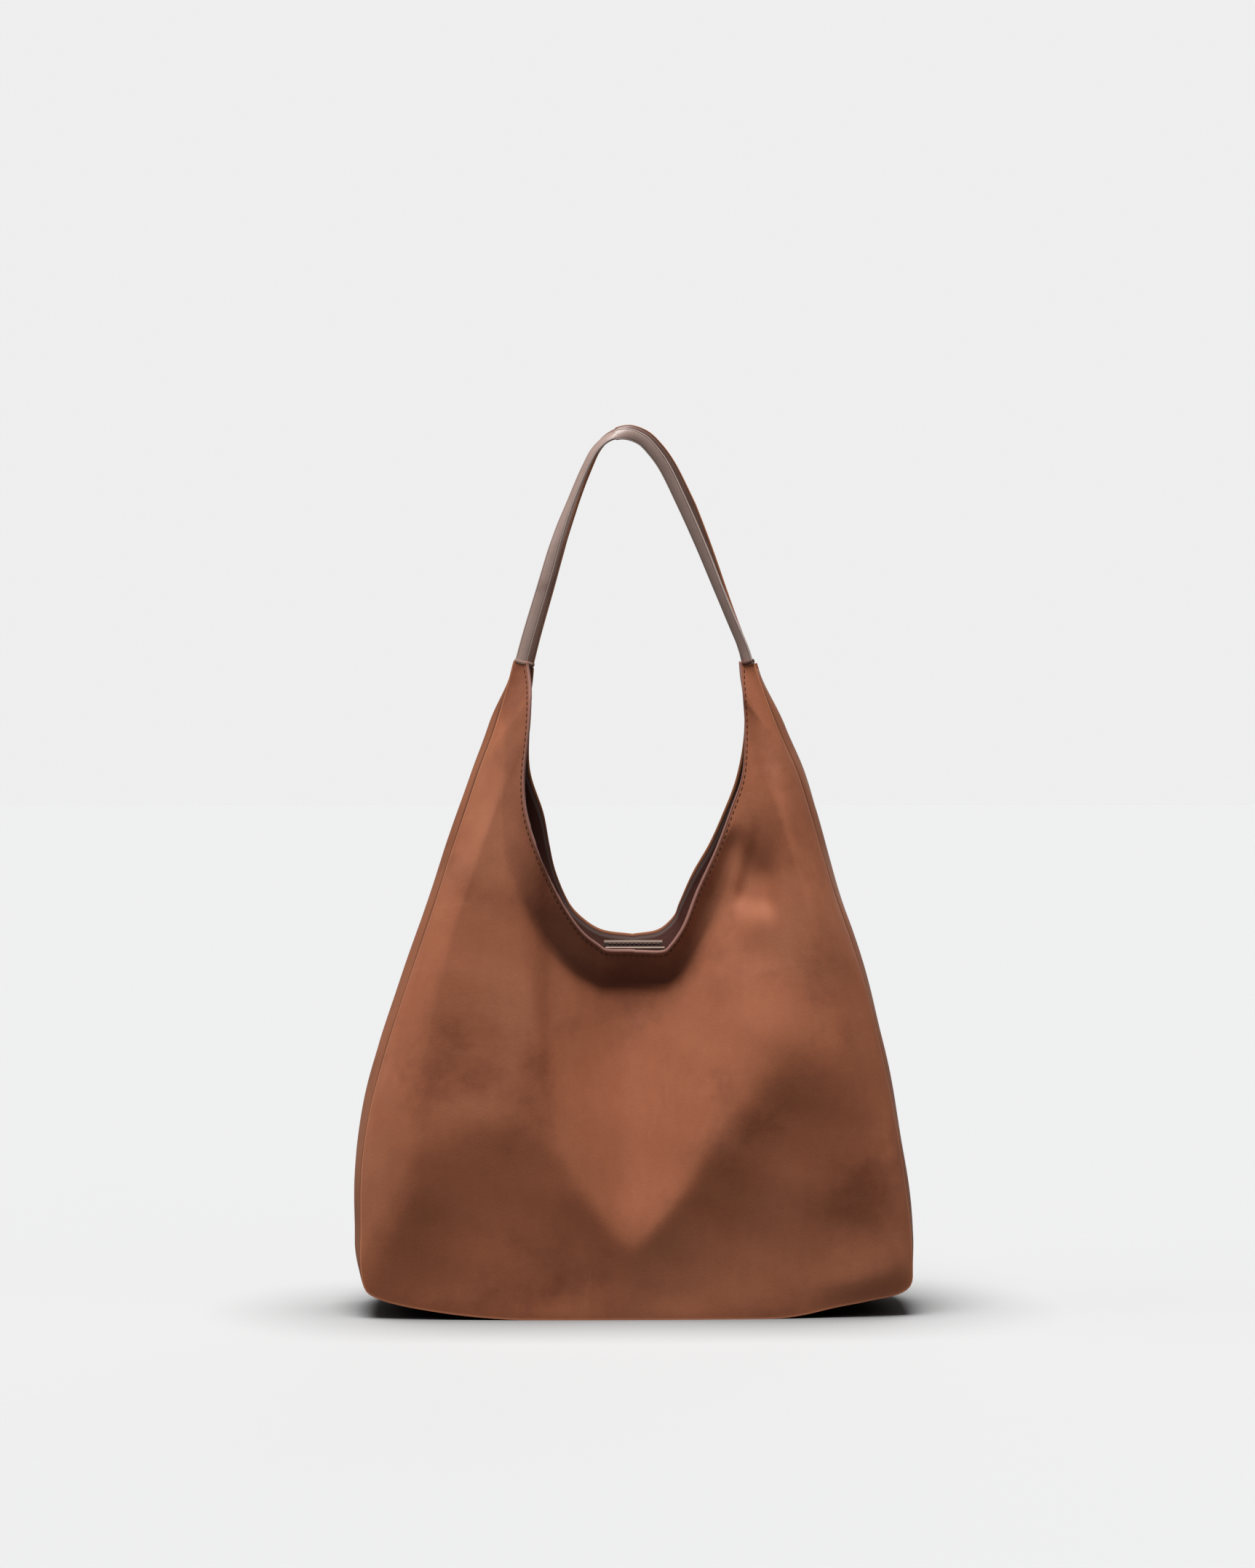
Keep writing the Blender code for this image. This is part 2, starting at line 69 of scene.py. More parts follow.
MOUTH = {
    (FRONT, -1): [(0.0732, 0.4414), (0.0716, 0.425), (0.0726, 0.396), (0.076, 0.363), (0.0745, 0.340), (0.066, 0.312),
                  (0.0495, 0.277), (0.036, 0.2578), (0.0245, 0.2485), (0.0205, 0.2458), (0.0, 0.2447)],
    (FRONT, 1): [(0.0718, 0.4414), (0.0728, 0.425), (0.0746, 0.396), (0.0722, 0.363), (0.065, 0.3415), (0.055, 0.3145),
                 (0.042, 0.2855), (0.0325, 0.2615), (0.0235, 0.2485), (0.0195, 0.2450), (0.0, 0.2443)],
    (BACK, -1): [(0.0692, 0.4380), (0.0705, 0.417), (0.0715, 0.397), (0.0712, 0.367), (0.0625, 0.337), (0.059, 0.317),
                 (0.0545, 0.297), (0.0455, 0.277), (0.0375, 0.267), (0.0225, 0.2568), (0.0, 0.2533)],
    (BACK, 1): [(0.0755, 0.4380), (0.0765, 0.417), (0.0757, 0.387), (0.0705, 0.360), (0.0620, 0.337), (0.0535, 0.317),
                (0.0425, 0.297), (0.0340, 0.277), (0.0300, 0.267), (0.0185, 0.2568), (0.0, 0.2533)],
}
STRAP_LINE = [(-0.0772, 0.4416), (-0.0722, 0.460), (-0.0628, 0.4912), (-0.0520, 0.527), (-0.0432, 0.5508), (-0.0330, 0.5747),
              (-0.0262, 0.5866), (-0.0168, 0.5945), (-0.0062, 0.5968), (0.0048, 0.5932), (0.0130, 0.5850), (0.0203, 0.5747),
              (0.0320, 0.5508), (0.0452, 0.5210), (0.0573, 0.4912), (0.0660, 0.4700), (0.0740, 0.4510), (0.0770, 0.4416)]


# ------------------------------------------------------------------ lines


def smooth_line(points, steps=24):
    """A smooth line through the points, evenly stepped between each two."""
    p = np.array(points, float)
    chord = np.maximum(np.linalg.norm(np.diff(p, axis=0), axis=1), 1e-6) ** 0.5
    t = np.concatenate([[0.0], np.cumsum(chord)])
    slope = np.zeros_like(p)
    span = np.diff(t)[:, None]
    rate = np.diff(p, axis=0) / span
    slope[1:-1] = (rate[:-1] * span[1:] + rate[1:] * span[:-1]) / (span[1:] + span[:-1])
    slope[0], slope[-1] = rate[0], rate[-1]
    out = []
    for i in range(len(p) - 1):
        u = np.linspace(0, 1, steps, endpoint=False)[:, None]
        h = span[i]
        out.append(
            (2 * u**3 - 3 * u**2 + 1) * p[i] + (u**3 - 2 * u**2 + u) * h * slope[i]
            + (-2 * u**3 + 3 * u**2) * p[i + 1] + (u**3 - u**2) * h * slope[i + 1]
        )
    return np.vstack([*out, p[-1:]])


def run_of(line):
    return np.concatenate([[0.0], np.cumsum(np.linalg.norm(np.diff(line, axis=0), axis=1))])


def at(line, distance):
    run = run_of(line)
    return np.stack([np.interp(distance, run, line[:, k]) for k in range(line.shape[1])], axis=-1)


def share_of(line, share):
    return at(line, np.asarray(share) * run_of(line)[-1])


SEAM_LINES = {side: smooth_line(points) for side, points in SIDE_SEAM.items()}
MOUTH_LINES = {key: smooth_line(points) for key, points in MOUTH.items()}


def signed(lines, along):
    """Points (x, z) for along, from -1 at the left tip through 0 at the middle to 1 at the right tip."""
    along = np.asarray(along, float)
    share = 1 - np.abs(along)
    left, right = share_of(lines[-1], share), share_of(lines[1], share)
    return np.where((along < 0)[..., None], left * [-1, 1], right)


def step_up(x):
    x = np.clip(x, 0, 1)
    return x * x * (3 - 2 * x)


def hump(x):
    return 0.5 + 0.5 * np.cos(np.pi * np.clip(np.abs(x), 0, 1))


def soft_above(x, radius):
    """x where it is above nought, nought below, with a rounded bend."""
    return 0.5 * (x + np.sqrt(x * x + radius * radius))


# ------------------------------------------------------------------ the bag's surface


def half_depth(x, z):
    """Half the bag's depth at its seams."""
    rise = np.clip(z / 0.4414, 0, 1)
    ends = 0.011 * (1 - rise) * np.clip(np.abs(x) / 0.187, 0, 1) ** 2.5
    tucked = 0.0024 * (1 - step_up(z / 0.05))
    return 0.012 + 0.046 * (1 - rise) - ends - tucked


def back_lean(z):
    """How far the back arms have slid sideways against the front ones."""
    return 0.0038 * step_up((z - 0.16) / 0.26)


def crease(x, z, points, height, soft_side, sharp_side):
    """A ridge along a line of points, falling gently on its left and steeply on its right; it fades at its ends."""
    line = smooth_line(points, 10)
    run = run_of(line)
    best = np.full(x.shape, 1e9)
    where = np.zeros(x.shape)
    which = np.zeros(x.shape)
    for i in range(len(line) - 1):
        a, b = line[i], line[i + 1]
        d = b - a
        t = np.clip(((x - a[0]) * d[0] + (z - a[1]) * d[1]) / (d @ d), 0, 1)
        px, pz = x - a[0] - t * d[0], z - a[1] - t * d[1]
        dist = np.hypot(px, pz)
        closer = dist < best
        best = np.where(closer, dist, best)
        where = np.where(closer, run[i] + t * (run[i + 1] - run[i]), where)
        which = np.where(closer, np.sign(d[0] * pz - d[1] * px), which)
    width = np.where(which < 0, soft_side, sharp_side)
    fade = step_up(where / run[-1] / 0.3) * step_up((1 - where / run[-1]) / 0.3)
    return height * fade * np.exp(-((best / width) ** 2))


def slow_waves(x, z, seed, size):
    """Gentle unevenness of soft leather."""
    rng = np.random.default_rng(seed)
    total = np.zeros(np.shape(x))
    for _ in range(14):
        angle, phase = rng.uniform(0, 2 * np.pi, 2)
        length = rng.uniform(0.03, 0.11)
        total += length * np.sin(2 * np.pi * (x * np.cos(angle) + z * np.sin(angle)) / length + phase)
    return size * total / 0.25


def gentle(line, x):
    """Height of a soft line given as (across, value) points, at x."""
    smooth = smooth_line(line, 8)
    return np.interp(x, smooth[:, 0], smooth[:, 1])


# Each panel swells outward down to a sagging fold line, under which it turns in; above it the leather leans back to the mouth.
FRONT_SLUMP = dict(
    fold=[(-0.185, 0.100), (-0.144, 0.117), (-0.100, 0.130), (-0.076, 0.129), (-0.060, 0.120), (-0.045, 0.099), (-0.024, 0.066),
          (-0.004, 0.0485), (0.022, 0.074), (0.049, 0.114), (0.076, 0.148), (0.100, 0.168), (0.130, 0.166), (0.156, 0.145), (0.185, 0.112)],
    swell=[(-0.18, 0.0690), (-0.08, 0.0690), (-0.006, 0.0672), (0.07, 0.0690), (0.18, 0.0690)],
    lean=[(-0.18, 0.165), (-0.140, 0.150), (-0.102, 0.130), (-0.072, 0.170), (-0.048, 0.290), (-0.006, 0.318), (0.030, 0.305), (0.060, 0.235),
          (0.085, 0.176), (0.122, 0.104), (0.18, 0.130)],
    flap=0.0190, flap_reach=(0.108, 0.078), flap_drop=0.028, seed=3,
)
BACK_SLUMP = dict(
    fold=[(-0.185, 0.110), (-0.120, 0.128), (-0.070, 0.118), (-0.030, 0.083), (0.005, 0.066), (0.040, 0.086), (0.080, 0.122),
          (0.130, 0.130), (0.185, 0.112)],
    swell=[(-0.18, 0.0680), (-0.06, 0.0688), (0.005, 0.0665), (0.07, 0.0688), (0.18, 0.0680)],
    lean=[(-0.18, 0.175), (-0.095, 0.180), (-0.055, 0.235), (0.005, 0.300), (0.060, 0.240), (0.100, 0.180), (0.18, 0.172)],
    flap=0.0165, flap_reach=(0.076, 0.080), flap_drop=0.026, seed=8,
)


def flap(s, x, to_rim):
    """The stiffened strip under the mouth, 0 to 1: it keeps its own angle, and ends below in a crease."""
    reach = np.where(x < 0, s["flap_reach"][0], s["flap_reach"][1])
    full = np.where(x < 0, 0.044, 0.020)
    level = hump(np.clip((np.abs(x) - full) / (reach - full), 0, 1))
    drop = np.clip(s["flap_drop"] + np.where(x < 0, 0.04, -0.10) * np.abs(x), 0.012, 0.045)
    return level, soft_above(1 - to_rim / drop, 0.040)


def panel_depth(face, x, z, from_rim, width):
    """How far a panel's outside stands from the bag's middle."""
    s = FRONT_SLUMP if face == FRONT else BACK_SLUMP
    to_rim, to_seam = from_rim * width, (1 - from_rim) * width
    narrow = np.clip((width - 0.012) / 0.040, 0, 1)
    puff = 0.0085 * narrow * (0.25 + 0.75 * step_up(z / 0.12)) * (1 - np.exp(-to_seam / 0.0105))
    seam_side = half_depth(x, z) + 0.0015 + puff
    fold, swell, lean = (gentle(s[key], x) for key in ("fold", "swell", "lean"))
    crisp = 0.005 + 0.010 * step_up(np.abs(x) / 0.07)
    above = soft_above(z - fold, crisp)
    under = soft_above(fold - z, crisp)
    slumped = swell - lean * above - (swell - 0.0515) / fold * under
    level, strip = flap(s, x, to_rim)
    slumped = slumped + s["flap"] * level * strip
    inside = step_up(to_seam / 0.092) * np.clip(width / 0.060, 0, 1)
    depth = seam_side + (slumped - seam_side) * inside
    detail = slow_waves(x, z, s["seed"], 0.0006)
    if face == FRONT:
        detail = detail + crease(x, z, [(-0.084, 0.345), (-0.078, 0.27), (-0.070, 0.20), (-0.052, 0.120)], 0.0032, 0.020, 0.007)
        detail = detail - crease(x, z, [(0.058, 0.330), (0.074, 0.308), (0.094, 0.286)], 0.0030, 0.012, 0.009)
        detail = detail - crease(x, z, [(0.064, 0.2855), (0.080, 0.2820), (0.098, 0.2800)], 0.0062, 0.010, 0.042)
        detail = detail + crease(x, z, [(0.026, 0.082), (0.055, 0.135), (0.085, 0.185), (0.108, 0.228)], 0.0042, 0.030, 0.030)
        detail = detail + crease(x, z, [(0.102, 0.287), (0.084, 0.270), (0.064, 0.250), (0.050, 0.205)], 0.0030, 0.012, 0.014)
        detail = detail - 0.0084 * hump((x - 0.066) / 0.058) * hump((z - 0.270) / 0.078)
        detail = detail + 0.0034 * hump((x - 0.155) / 0.050) * hump((z - 0.018) / 0.050)
        detail = detail - 0.0036 * hump((x + 0.110) / 0.060) * hump((z - 0.135) / 0.100)
    else:
        detail = detail + crease(x, z, [(0.080, 0.320), (0.072, 0.25), (0.055, 0.16)], 0.0026, 0.008, 0.018)
        detail = detail - crease(x, z, [(-0.050, 0.300), (-0.078, 0.275), (-0.092, 0.262)], 0.0032, 0.009, 0.009)
    seam_pull = step_up(to_seam / 0.02) * step_up(to_rim / 0.012)
    return depth + detail * seam_pull * narrow


def panel_points(face, along, from_rim):
    """Points on a panel's outside, for arrays of along and from_rim."""
    seam = signed(SEAM_LINES, along)
    rim = signed({side: MOUTH_LINES[face, side] for side in (-1, 1)}, along)
    width = np.linalg.norm(seam - rim, axis=-1)
    lean = back_lean(seam[..., 1]) if face == BACK else 0.0
    seam = seam + np.stack([np.broadcast_to(lean, width.shape), np.zeros_like(width)], axis=-1)
    flat = rim + (seam - rim) * from_rim[..., None]
    depth = panel_depth(face, flat[..., 0], flat[..., 1], from_rim, width)
    depth = depth - 0.00025 * np.exp(-(((from_rim * width - STITCH_LINE) / 0.0006) ** 2))
    return np.stack([flat[..., 0], face * depth, flat[..., 1]], axis=-1), width


def normals_of(points, outward):
    """Unit normals of a grid of points, on the side that outward points to."""
    du = np.gradient(points, axis=0)
    dv = np.gradient(points, axis=1)
    n = np.cross(du, dv)
    n /= np.maximum(np.linalg.norm(n, axis=-1, keepdims=True), 1e-12)
    return n * np.sign(np.sum(n * outward, axis=-1, keepdims=True) + 1e-12)


def panel_rows(width, middle_rows=64):
    """For each column, from_rim of its rows: close together at the rim and at the seam."""
    near = np.minimum(0.0062, 0.35 * width)[:, None]
    far = np.minimum(0.0090, 0.22 * width)[:, None]
    width = width[:, None]
    rim_band = near * np.linspace(0, 1, 13)
    seam_band = width - far * np.linspace(1, 0, 11)
    middle = near + (width - far - near) * np.linspace(0, 1, middle_rows + 1)[1:-1]
    return np.hstack([rim_band, middle, seam_band]) / width


def panel_grid(face, columns):
    along = np.linspace(-1, 1, columns + 1)
    _, width = panel_points(face, along, np.zeros_like(along))
    rows = panel_rows(width)
    points, _ = panel_points(face, np.repeat(along[:, None], rows.shape[1], 1), rows)
    return along, width, rows, points


def seam_directions(along):
    """Unit vectors square to the seam, outward, in the plane of the front."""
    step = 0.002
    ahead = signed(SEAM_LINES, np.clip(along + step, -1, 1)) - signed(SEAM_LINES, np.clip(along - step, -1, 1))
    out = np.stack([ahead[..., 1], -ahead[..., 0]], axis=-1)
    return out / np.linalg.norm(out, axis=-1, keepdims=True)


def side_points(along, across):
    """Points on the sides and the base; across is -1 at the front seam and 1 at the back seam."""
    seam = signed(SEAM_LINES, along)
    out = seam_directions(along)
    half = half_depth(seam[..., 0], seam[..., 1])
    high = seam[..., 1]
    most = np.where(seam[:, 0] < 0, 0.0062, 0.0048)
    low = np.where(seam[:, 0] < 0, 0.85 + 0.15 * step_up((high - 0.045) / 0.12), 1.0)
    bulge = most * low * step_up((high - 0.004) / 0.045) * step_up((0.4414 - high) / 0.045)
    round_off = 1 - np.abs(across) ** 2.4
    ripple = 0.0007 * np.sin(high[:, None] * 74 + 2.4 * across) * (across * round_off) * 1.6
    tuck = 0.0014 * np.exp(-(((1 - np.abs(across)) * half[:, None] / 0.0016) ** 2))
    lift = bulge[:, None] * round_off - tuck + ripple * step_up((0.4414 - high) / 0.08)[:, None] * step_up(high / 0.05)[:, None]
    x = seam[:, None, 0] + out[:, None, 0] * lift + back_lean(high)[:, None] * (across + 1) / 2
    z = seam[:, None, 1] + out[:, None, 1] * lift * step_up(high / 0.05)[:, None]
    y = (half[:, None] + 0.0008 * np.abs(across) ** 6) * across
    return np.stack([x, y, z], axis=-1)


# ------------------------------------------------------------------ making pieces


def mesh_piece(name, verts, faces, smooth=True):
    mesh = bpy.data.meshes.new(name)
    mesh.from_pydata([tuple(v) for v in np.asarray(verts).reshape(-1, 3)], [], [tuple(f) for f in faces])
    mesh.validate()
    mesh.update()
    piece = bpy.data.objects.new(name, mesh)
    bpy.context.scene.collection.objects.link(piece)
    if smooth:
        mesh.shade_smooth()
    return piece


def grid_faces(columns, rows, flip=False, wrap=False):
    faces = []
    across = rows if wrap else rows - 1
    for i in range(columns - 1):
        for j in range(across):
            k = (j + 1) % rows
            face = (i * rows + j, (i + 1) * rows + j, (i + 1) * rows + k, i * rows + k)
            faces.append(face[::-1] if flip else face)
    return faces


def surface(name, points, outward, thickness=0.0, marks=None):
    """A piece from a grid of points, facing outward, with a wall of leather or cloth behind it."""
    columns, rows = points.shape[:2]
    n = np.cross(points[1:, :-1] - points[:-1, :-1], points[:-1, 1:] - points[:-1, :-1])
    middle = (points[1:, :-1] + points[:-1, 1:]) / 2
    facing = np.sum(n * outward(middle))
    piece = mesh_piece(name, points, grid_faces(columns, rows, flip=facing < 0))
    for mark, values in (marks or {}).items():
        layer = piece.data.attributes.new(mark, "FLOAT", "POINT")
        layer.data.foreach_set("value", np.broadcast_to(values, points.shape[:2]).astype(np.float32).ravel())
    piece["sheet_faces"] = len(piece.data.polygons)
    if thickness:
        wall = piece.modifiers.new("wall", "SOLIDIFY")
        wall.thickness = thickness
        wall.offset = -1
        apply_modifier(piece, wall)
    return piece


def apply_modifier(piece, modifier):
    bpy.context.view_layer.objects.active = piece
    bpy.ops.object.modifier_apply(modifier=modifier.name)


def sweep(name, centre, across, through, section, closed_ends=True):
    """A bar along centre, its section given as (across, through) pairs in metres."""
    ring = np.array(section, float)
    points = centre[:, None] + across[:, None] * ring[None, :, :1] + through[:, None] * ring[None, :, 1:]
    columns, rows = points.shape[:2]
    faces = grid_faces(columns, rows, wrap=True)
    if closed_ends:
        faces += [tuple(range(rows)), tuple(range((columns - 1) * rows + rows - 1, (columns - 1) * rows - 1, -1))]
    piece = mesh_piece(name, points, faces)
    set_outward(piece)
    return piece


def set_outward(piece):
    bm = bmesh.new()
    bm.from_mesh(piece.data)
    bmesh.ops.recalc_face_normals(bm, faces=bm.faces)
    bm.to_mesh(piece.data)
    bm.free()


def unit(v):
    return v / np.maximum(np.linalg.norm(v, axis=-1, keepdims=True), 1e-12)


def stitches(name, path, up, pitch=STITCH_PITCH, length=0.0031, radius=0.00036):
    """A row of stitches along a path: each is a small thread hump that dives into the leather at both ends."""
    run = run_of(path)
    count = int(run[-1] / pitch)
    ring = 6
    verts, faces = [], []
    for i in range(count):
        centre = (i + 0.5) * run[-1] / count
        spots = centre + length * np.array([-0.5, -0.42, -0.2, 0.0, 0.2, 0.42, 0.5])
        line = at(path, spots)
        high = unit(at(up, spots * run_of(up)[-1] / run[-1])) if len(up) != len(path) else unit(
            np.stack([np.interp(spots, run, up[:, k]) for k in range(3)], axis=-1))
        rise = np.array([-0.9, 0.0, 0.55, 0.75, 0.55, 0.0, -0.9])[:, None] * radius
        thick = np.array([0.45, 0.85, 1.0, 1.0, 1.0, 0.85, 0.45]) * radius
        forward = unit(np.gradient(line, axis=0))
        side = unit(np.cross(forward, high))
        base = len(verts)
        for k in range(len(spots)):
            for m in range(ring):
                a = 2 * math.pi * m / ring
                verts.append(line[k] + high[k] * (rise[k] + thick[k] * math.sin(a)) + side[k] * thick[k] * math.cos(a))
        for k in range(len(spots) - 1):
            for m in range(ring):
                n = (m + 1) % ring
                faces.append((base + k * ring + m, base + (k + 1) * ring + m, base + (k + 1) * ring + n, base + k * ring + n))
        faces.append(tuple(base + m for m in range(ring)))
        faces.append(tuple(base + (len(spots) - 1) * ring + m for m in reversed(range(ring))))
    piece = mesh_piece(name, np.array(verts), faces)
    set_outward(piece)
    return piece


def finish(piece, body, slot, *materials, replaces=()):
    for made in materials:
        piece.data.materials.append(made)
    if body:
        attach(piece, body)
    if replaces:
        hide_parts(*replaces)
    return piece


# ------------------------------------------------------------------ shared finishes


def effect(name, takes, gives):
    """A node group with named inputs {name: default} and outputs; returns its tree, its input node and its output node."""
    tree = bpy.data.node_groups.new(name, "ShaderNodeTree")
    for key, value in takes.items():
        kind = "NodeSocketVector" if key == "Place" else "NodeSocketFloat"
        socket = tree.interface.new_socket(name=key, in_out="INPUT", socket_type=kind)
        if value is not None:
            socket.default_value = value
    for key in gives:
        tree.interface.new_socket(name=key, in_out="OUTPUT", socket_type="NodeSocketFloat")
    return tree, tree.nodes.new("NodeGroupInput"), tree.nodes.new("NodeGroupOutput")


def node(tree, kind, values=None, **settings):
    made = tree.nodes.new(kind)
    for key, value in settings.items():
        setattr(made, key, value)
    for key, value in (values or {}).items():
        socket = made.inputs[key]
        if isinstance(value, bpy.types.NodeSocket):
            tree.links.new(value, socket)
        else:
            socket.default_value = value
    return made


def maths(tree, operation, a, b=None, c=None, clamp=False):
    values = {0: a}
    if b is not None:
        values[1] = b
    if c is not None:
        values[2] = c
    return node(tree, "ShaderNodeMath", values, operation=operation, use_clamp=clamp).outputs[0]


def ranged(tree, value, low, high, out_low=0.0, out_high=1.0):
    made = node(tree, "ShaderNodeMapRange", {"Value": value}, interpolation_type="SMOOTHSTEP")
    made.inputs["From Min"].default_value = low
    made.inputs["From Max"].default_value = high
    made.inputs["To Min"].default_value = out_low
    made.inputs["To Max"].default_value = out_high
    return made.outputs[0]


def cloud(tree, place, scale, detail=4.0, rough=0.55, stretch=None, distortion=0.0):
    if stretch:
        place = node(tree, "ShaderNodeMapping", {"Vector": place, "Scale": stretch}).outputs[0]
    values = {"Vector": place, "Scale": scale, "Detail": detail, "Roughness": rough, "Distortion": distortion}
    return node(tree, "ShaderNodeTexNoise", values).outputs[0]


def make_nap():
    """The fine buffed nap of nubuck: a height, and the speckle that goes with it."""
    tree, takes, gives = effect("buffed_nap", {"Place": None, "Coarseness": 1.0}, ["Height", "Speckle"])
    place = takes.outputs["Place"]
    size = takes.outputs["Coarseness"]
    fine = node(tree, "ShaderNodeTexNoise", {"Vector": place, "Scale": maths(tree, "DIVIDE", 1500.0, size), "Detail": 3.0}).outputs[0]
    pores = node(tree, "ShaderNodeTexVoronoi", {"Vector": place, "Scale": maths(tree, "DIVIDE", 620.0, size)}).outputs["Distance"]
    scuffs = cloud(tree, place, 160.0, 4.0, 0.6, (1.0, 1.0, 0.35))
    height = maths(tree, "MULTIPLY_ADD", fine, 0.5, maths(tree, "MULTIPLY", ranged(tree, pores, 0.1, 0.6), 0.3))
    height = maths(tree, "MULTIPLY_ADD", scuffs, 0.45, height)
    speckle = maths(tree, "MULTIPLY_ADD", fine, 0.55, maths(tree, "MULTIPLY", scuffs, 0.45))
    tree.links.new(height, gives.inputs["Height"])
    tree.links.new(ranged(tree, speckle, 0.34, 0.66), gives.inputs["Speckle"])
    return tree


def make_mottling():
    """Uneven waxing: broad pale patches, darker handled patches, and long faint rub marks."""
    tree, takes, gives = effect("uneven_wax", {"Place": None, "Broad": 9.0}, ["Pale", "Dark", "Rubs"])
    place = takes.outputs["Place"]
    broad = node(tree, "ShaderNodeTexNoise", {"Vector": place, "Scale": takes.outputs["Broad"], "Detail": 4.0, "Roughness": 0.6}).outputs[0]
    moved = node(tree, "ShaderNodeMapping", {"Vector": place, "Location": (3.1, 1.7, 0.4)}).outputs[0]
    other = node(tree, "ShaderNodeTexNoise", {"Vector": moved, "Scale": maths(tree, "MULTIPLY", takes.outputs["Broad"], 1.7), "Detail": 5.0,
                                              "Roughness": 0.62}).outputs[0]
    across = cloud(tree, place, 26.0, 5.0, 0.65, (0.45, 1.0, 1.9), 0.3)
    down = cloud(tree, moved, 30.0, 5.0, 0.7, (2.2, 1.0, 0.42), 0.5)
    tree.links.new(ranged(tree, broad, 0.44, 0.68), gives.inputs["Pale"])
    tree.links.new(ranged(tree, other, 0.50, 0.72), gives.inputs["Dark"])
    rubs = maths(tree, "MAXIMUM", ranged(tree, across, 0.56, 0.78), ranged(tree, down, 0.60, 0.82))
    tree.links.new(rubs, gives.inputs["Rubs"])
    return tree


def make_edge_rub():
    """Rubbing along an edge, from the distance to it in metres."""
    tree, takes, gives = effect("edge_rub", {"Place": None, "Distance": 1.0, "Width": 0.004}, ["Rub"])
    near = maths(tree, "SUBTRACT", 1.0, maths(tree, "DIVIDE", takes.outputs["Distance"], takes.outputs["Width"]), clamp=True)
    broken = cloud(tree, takes.outputs["Place"], 210.0, 4.0, 0.7)
    tree.links.new(maths(tree, "MULTIPLY", maths(tree, "POWER", near, 1.6), ranged(tree, broken, 0.35, 0.62)), gives.inputs["Rub"])
    return tree


def make_weave():
    """A plain weave seen close: a height, and the shade between the threads."""
    tree, takes, gives = effect("plain_weave", {"Place": None, "Threads": 900.0}, ["Height", "Gap"])
    parts = node(tree, "ShaderNodeSeparateXYZ", {"Vector": takes.outputs["Place"]})
    turn = takes.outputs["Threads"]
    level = maths(tree, "ADD", parts.outputs["X"], maths(tree, "MULTIPLY", parts.outputs["Y"], 0.6))
    warp = maths(tree, "SINE", maths(tree, "MULTIPLY", level, maths(tree, "MULTIPLY", turn, 6.2832)))
    weft = maths(tree, "SINE", maths(tree, "MULTIPLY", parts.outputs["Z"], maths(tree, "MULTIPLY", turn, 6.2832)))
    crossing = maths(tree, "MULTIPLY", warp, weft)
    height = maths(tree, "MULTIPLY_ADD", crossing, 0.5, 0.5)
    tree.links.new(height, gives.inputs["Height"])
    gap = maths(tree, "ADD", maths(tree, "ABSOLUTE", warp), maths(tree, "ABSOLUTE", weft))
    tree.links.new(ranged(tree, gap, 0.2, 0.9, 1.0, 0.0), gives.inputs["Gap"])
    return tree


NAP, MOTTLING, EDGE_RUB, WEAVE = make_nap(), make_mottling(), make_edge_rub(), make_weave()


class Finish:
    """A material being made: its tree, its shader and the place on the piece."""

    def __init__(self, name, roughness, **constants):
        self.material = bpy.data.materials.new(name)
        self.material.use_nodes = True
        self.tree = self.material.node_tree
        self.shader = self.tree.nodes["Principled BSDF"]
        self.shader.inputs["Roughness"].default_value = roughness
        for key, value in constants.items():
            self.shader.inputs[key.replace("_", " ")].default_value = value
        self.place = node(self.tree, "ShaderNodeTexCoord").outputs["Object"]

    def use(self, group, **values):
        made = node(self.tree, "ShaderNodeGroup", node_tree=group)
        self.tree.links.new(self.place, made.inputs["Place"])
        for key, value in values.items():
            if isinstance(value, bpy.types.NodeSocket):
                self.tree.links.new(value, made.inputs[key])
            else:
                made.inputs[key].default_value = value
        return made.outputs

    def mark(self, name):
        return node(self.tree, "ShaderNodeAttribute", attribute_name=name).outputs["Fac"]

    def mixed(self, share, a, b):
        made = node(self.tree, "ShaderNodeMix", data_type="RGBA")
        sockets = [s for s in made.inputs if s.type == "RGBA"]
        for socket, value in zip([made.inputs[0], *sockets], (share, a, b)):
            if isinstance(value, bpy.types.NodeSocket):
                self.tree.links.new(value, socket)
            elif isinstance(value, (int, float)):
                socket.default_value = value
            else:
                socket.default_value = (*value, 1.0)
        return next(s for s in made.outputs if s.type == "RGBA")

    def scaled(self, value, factor):
        return maths(self.tree, "MULTIPLY", value, factor)

    def colour(self, socket):
        self.tree.links.new(socket, self.shader.inputs["Base Color"])

    def roughness(self, value, low, high):
        self.tree.links.new(ranged(self.tree, value, 0.0, 1.0, low, high), self.shader.inputs["Roughness"])

    def bump(self, height, strength, distance, under=None):
        made = node(self.tree, "ShaderNodeBump", {"Height": height, "Strength": strength, "Distance": distance})
        if under:
            self.tree.links.new(under, made.inputs["Normal"])
        self.tree.links.new(made.outputs[0], self.shader.inputs["Normal"])
        return made.outputs[0]


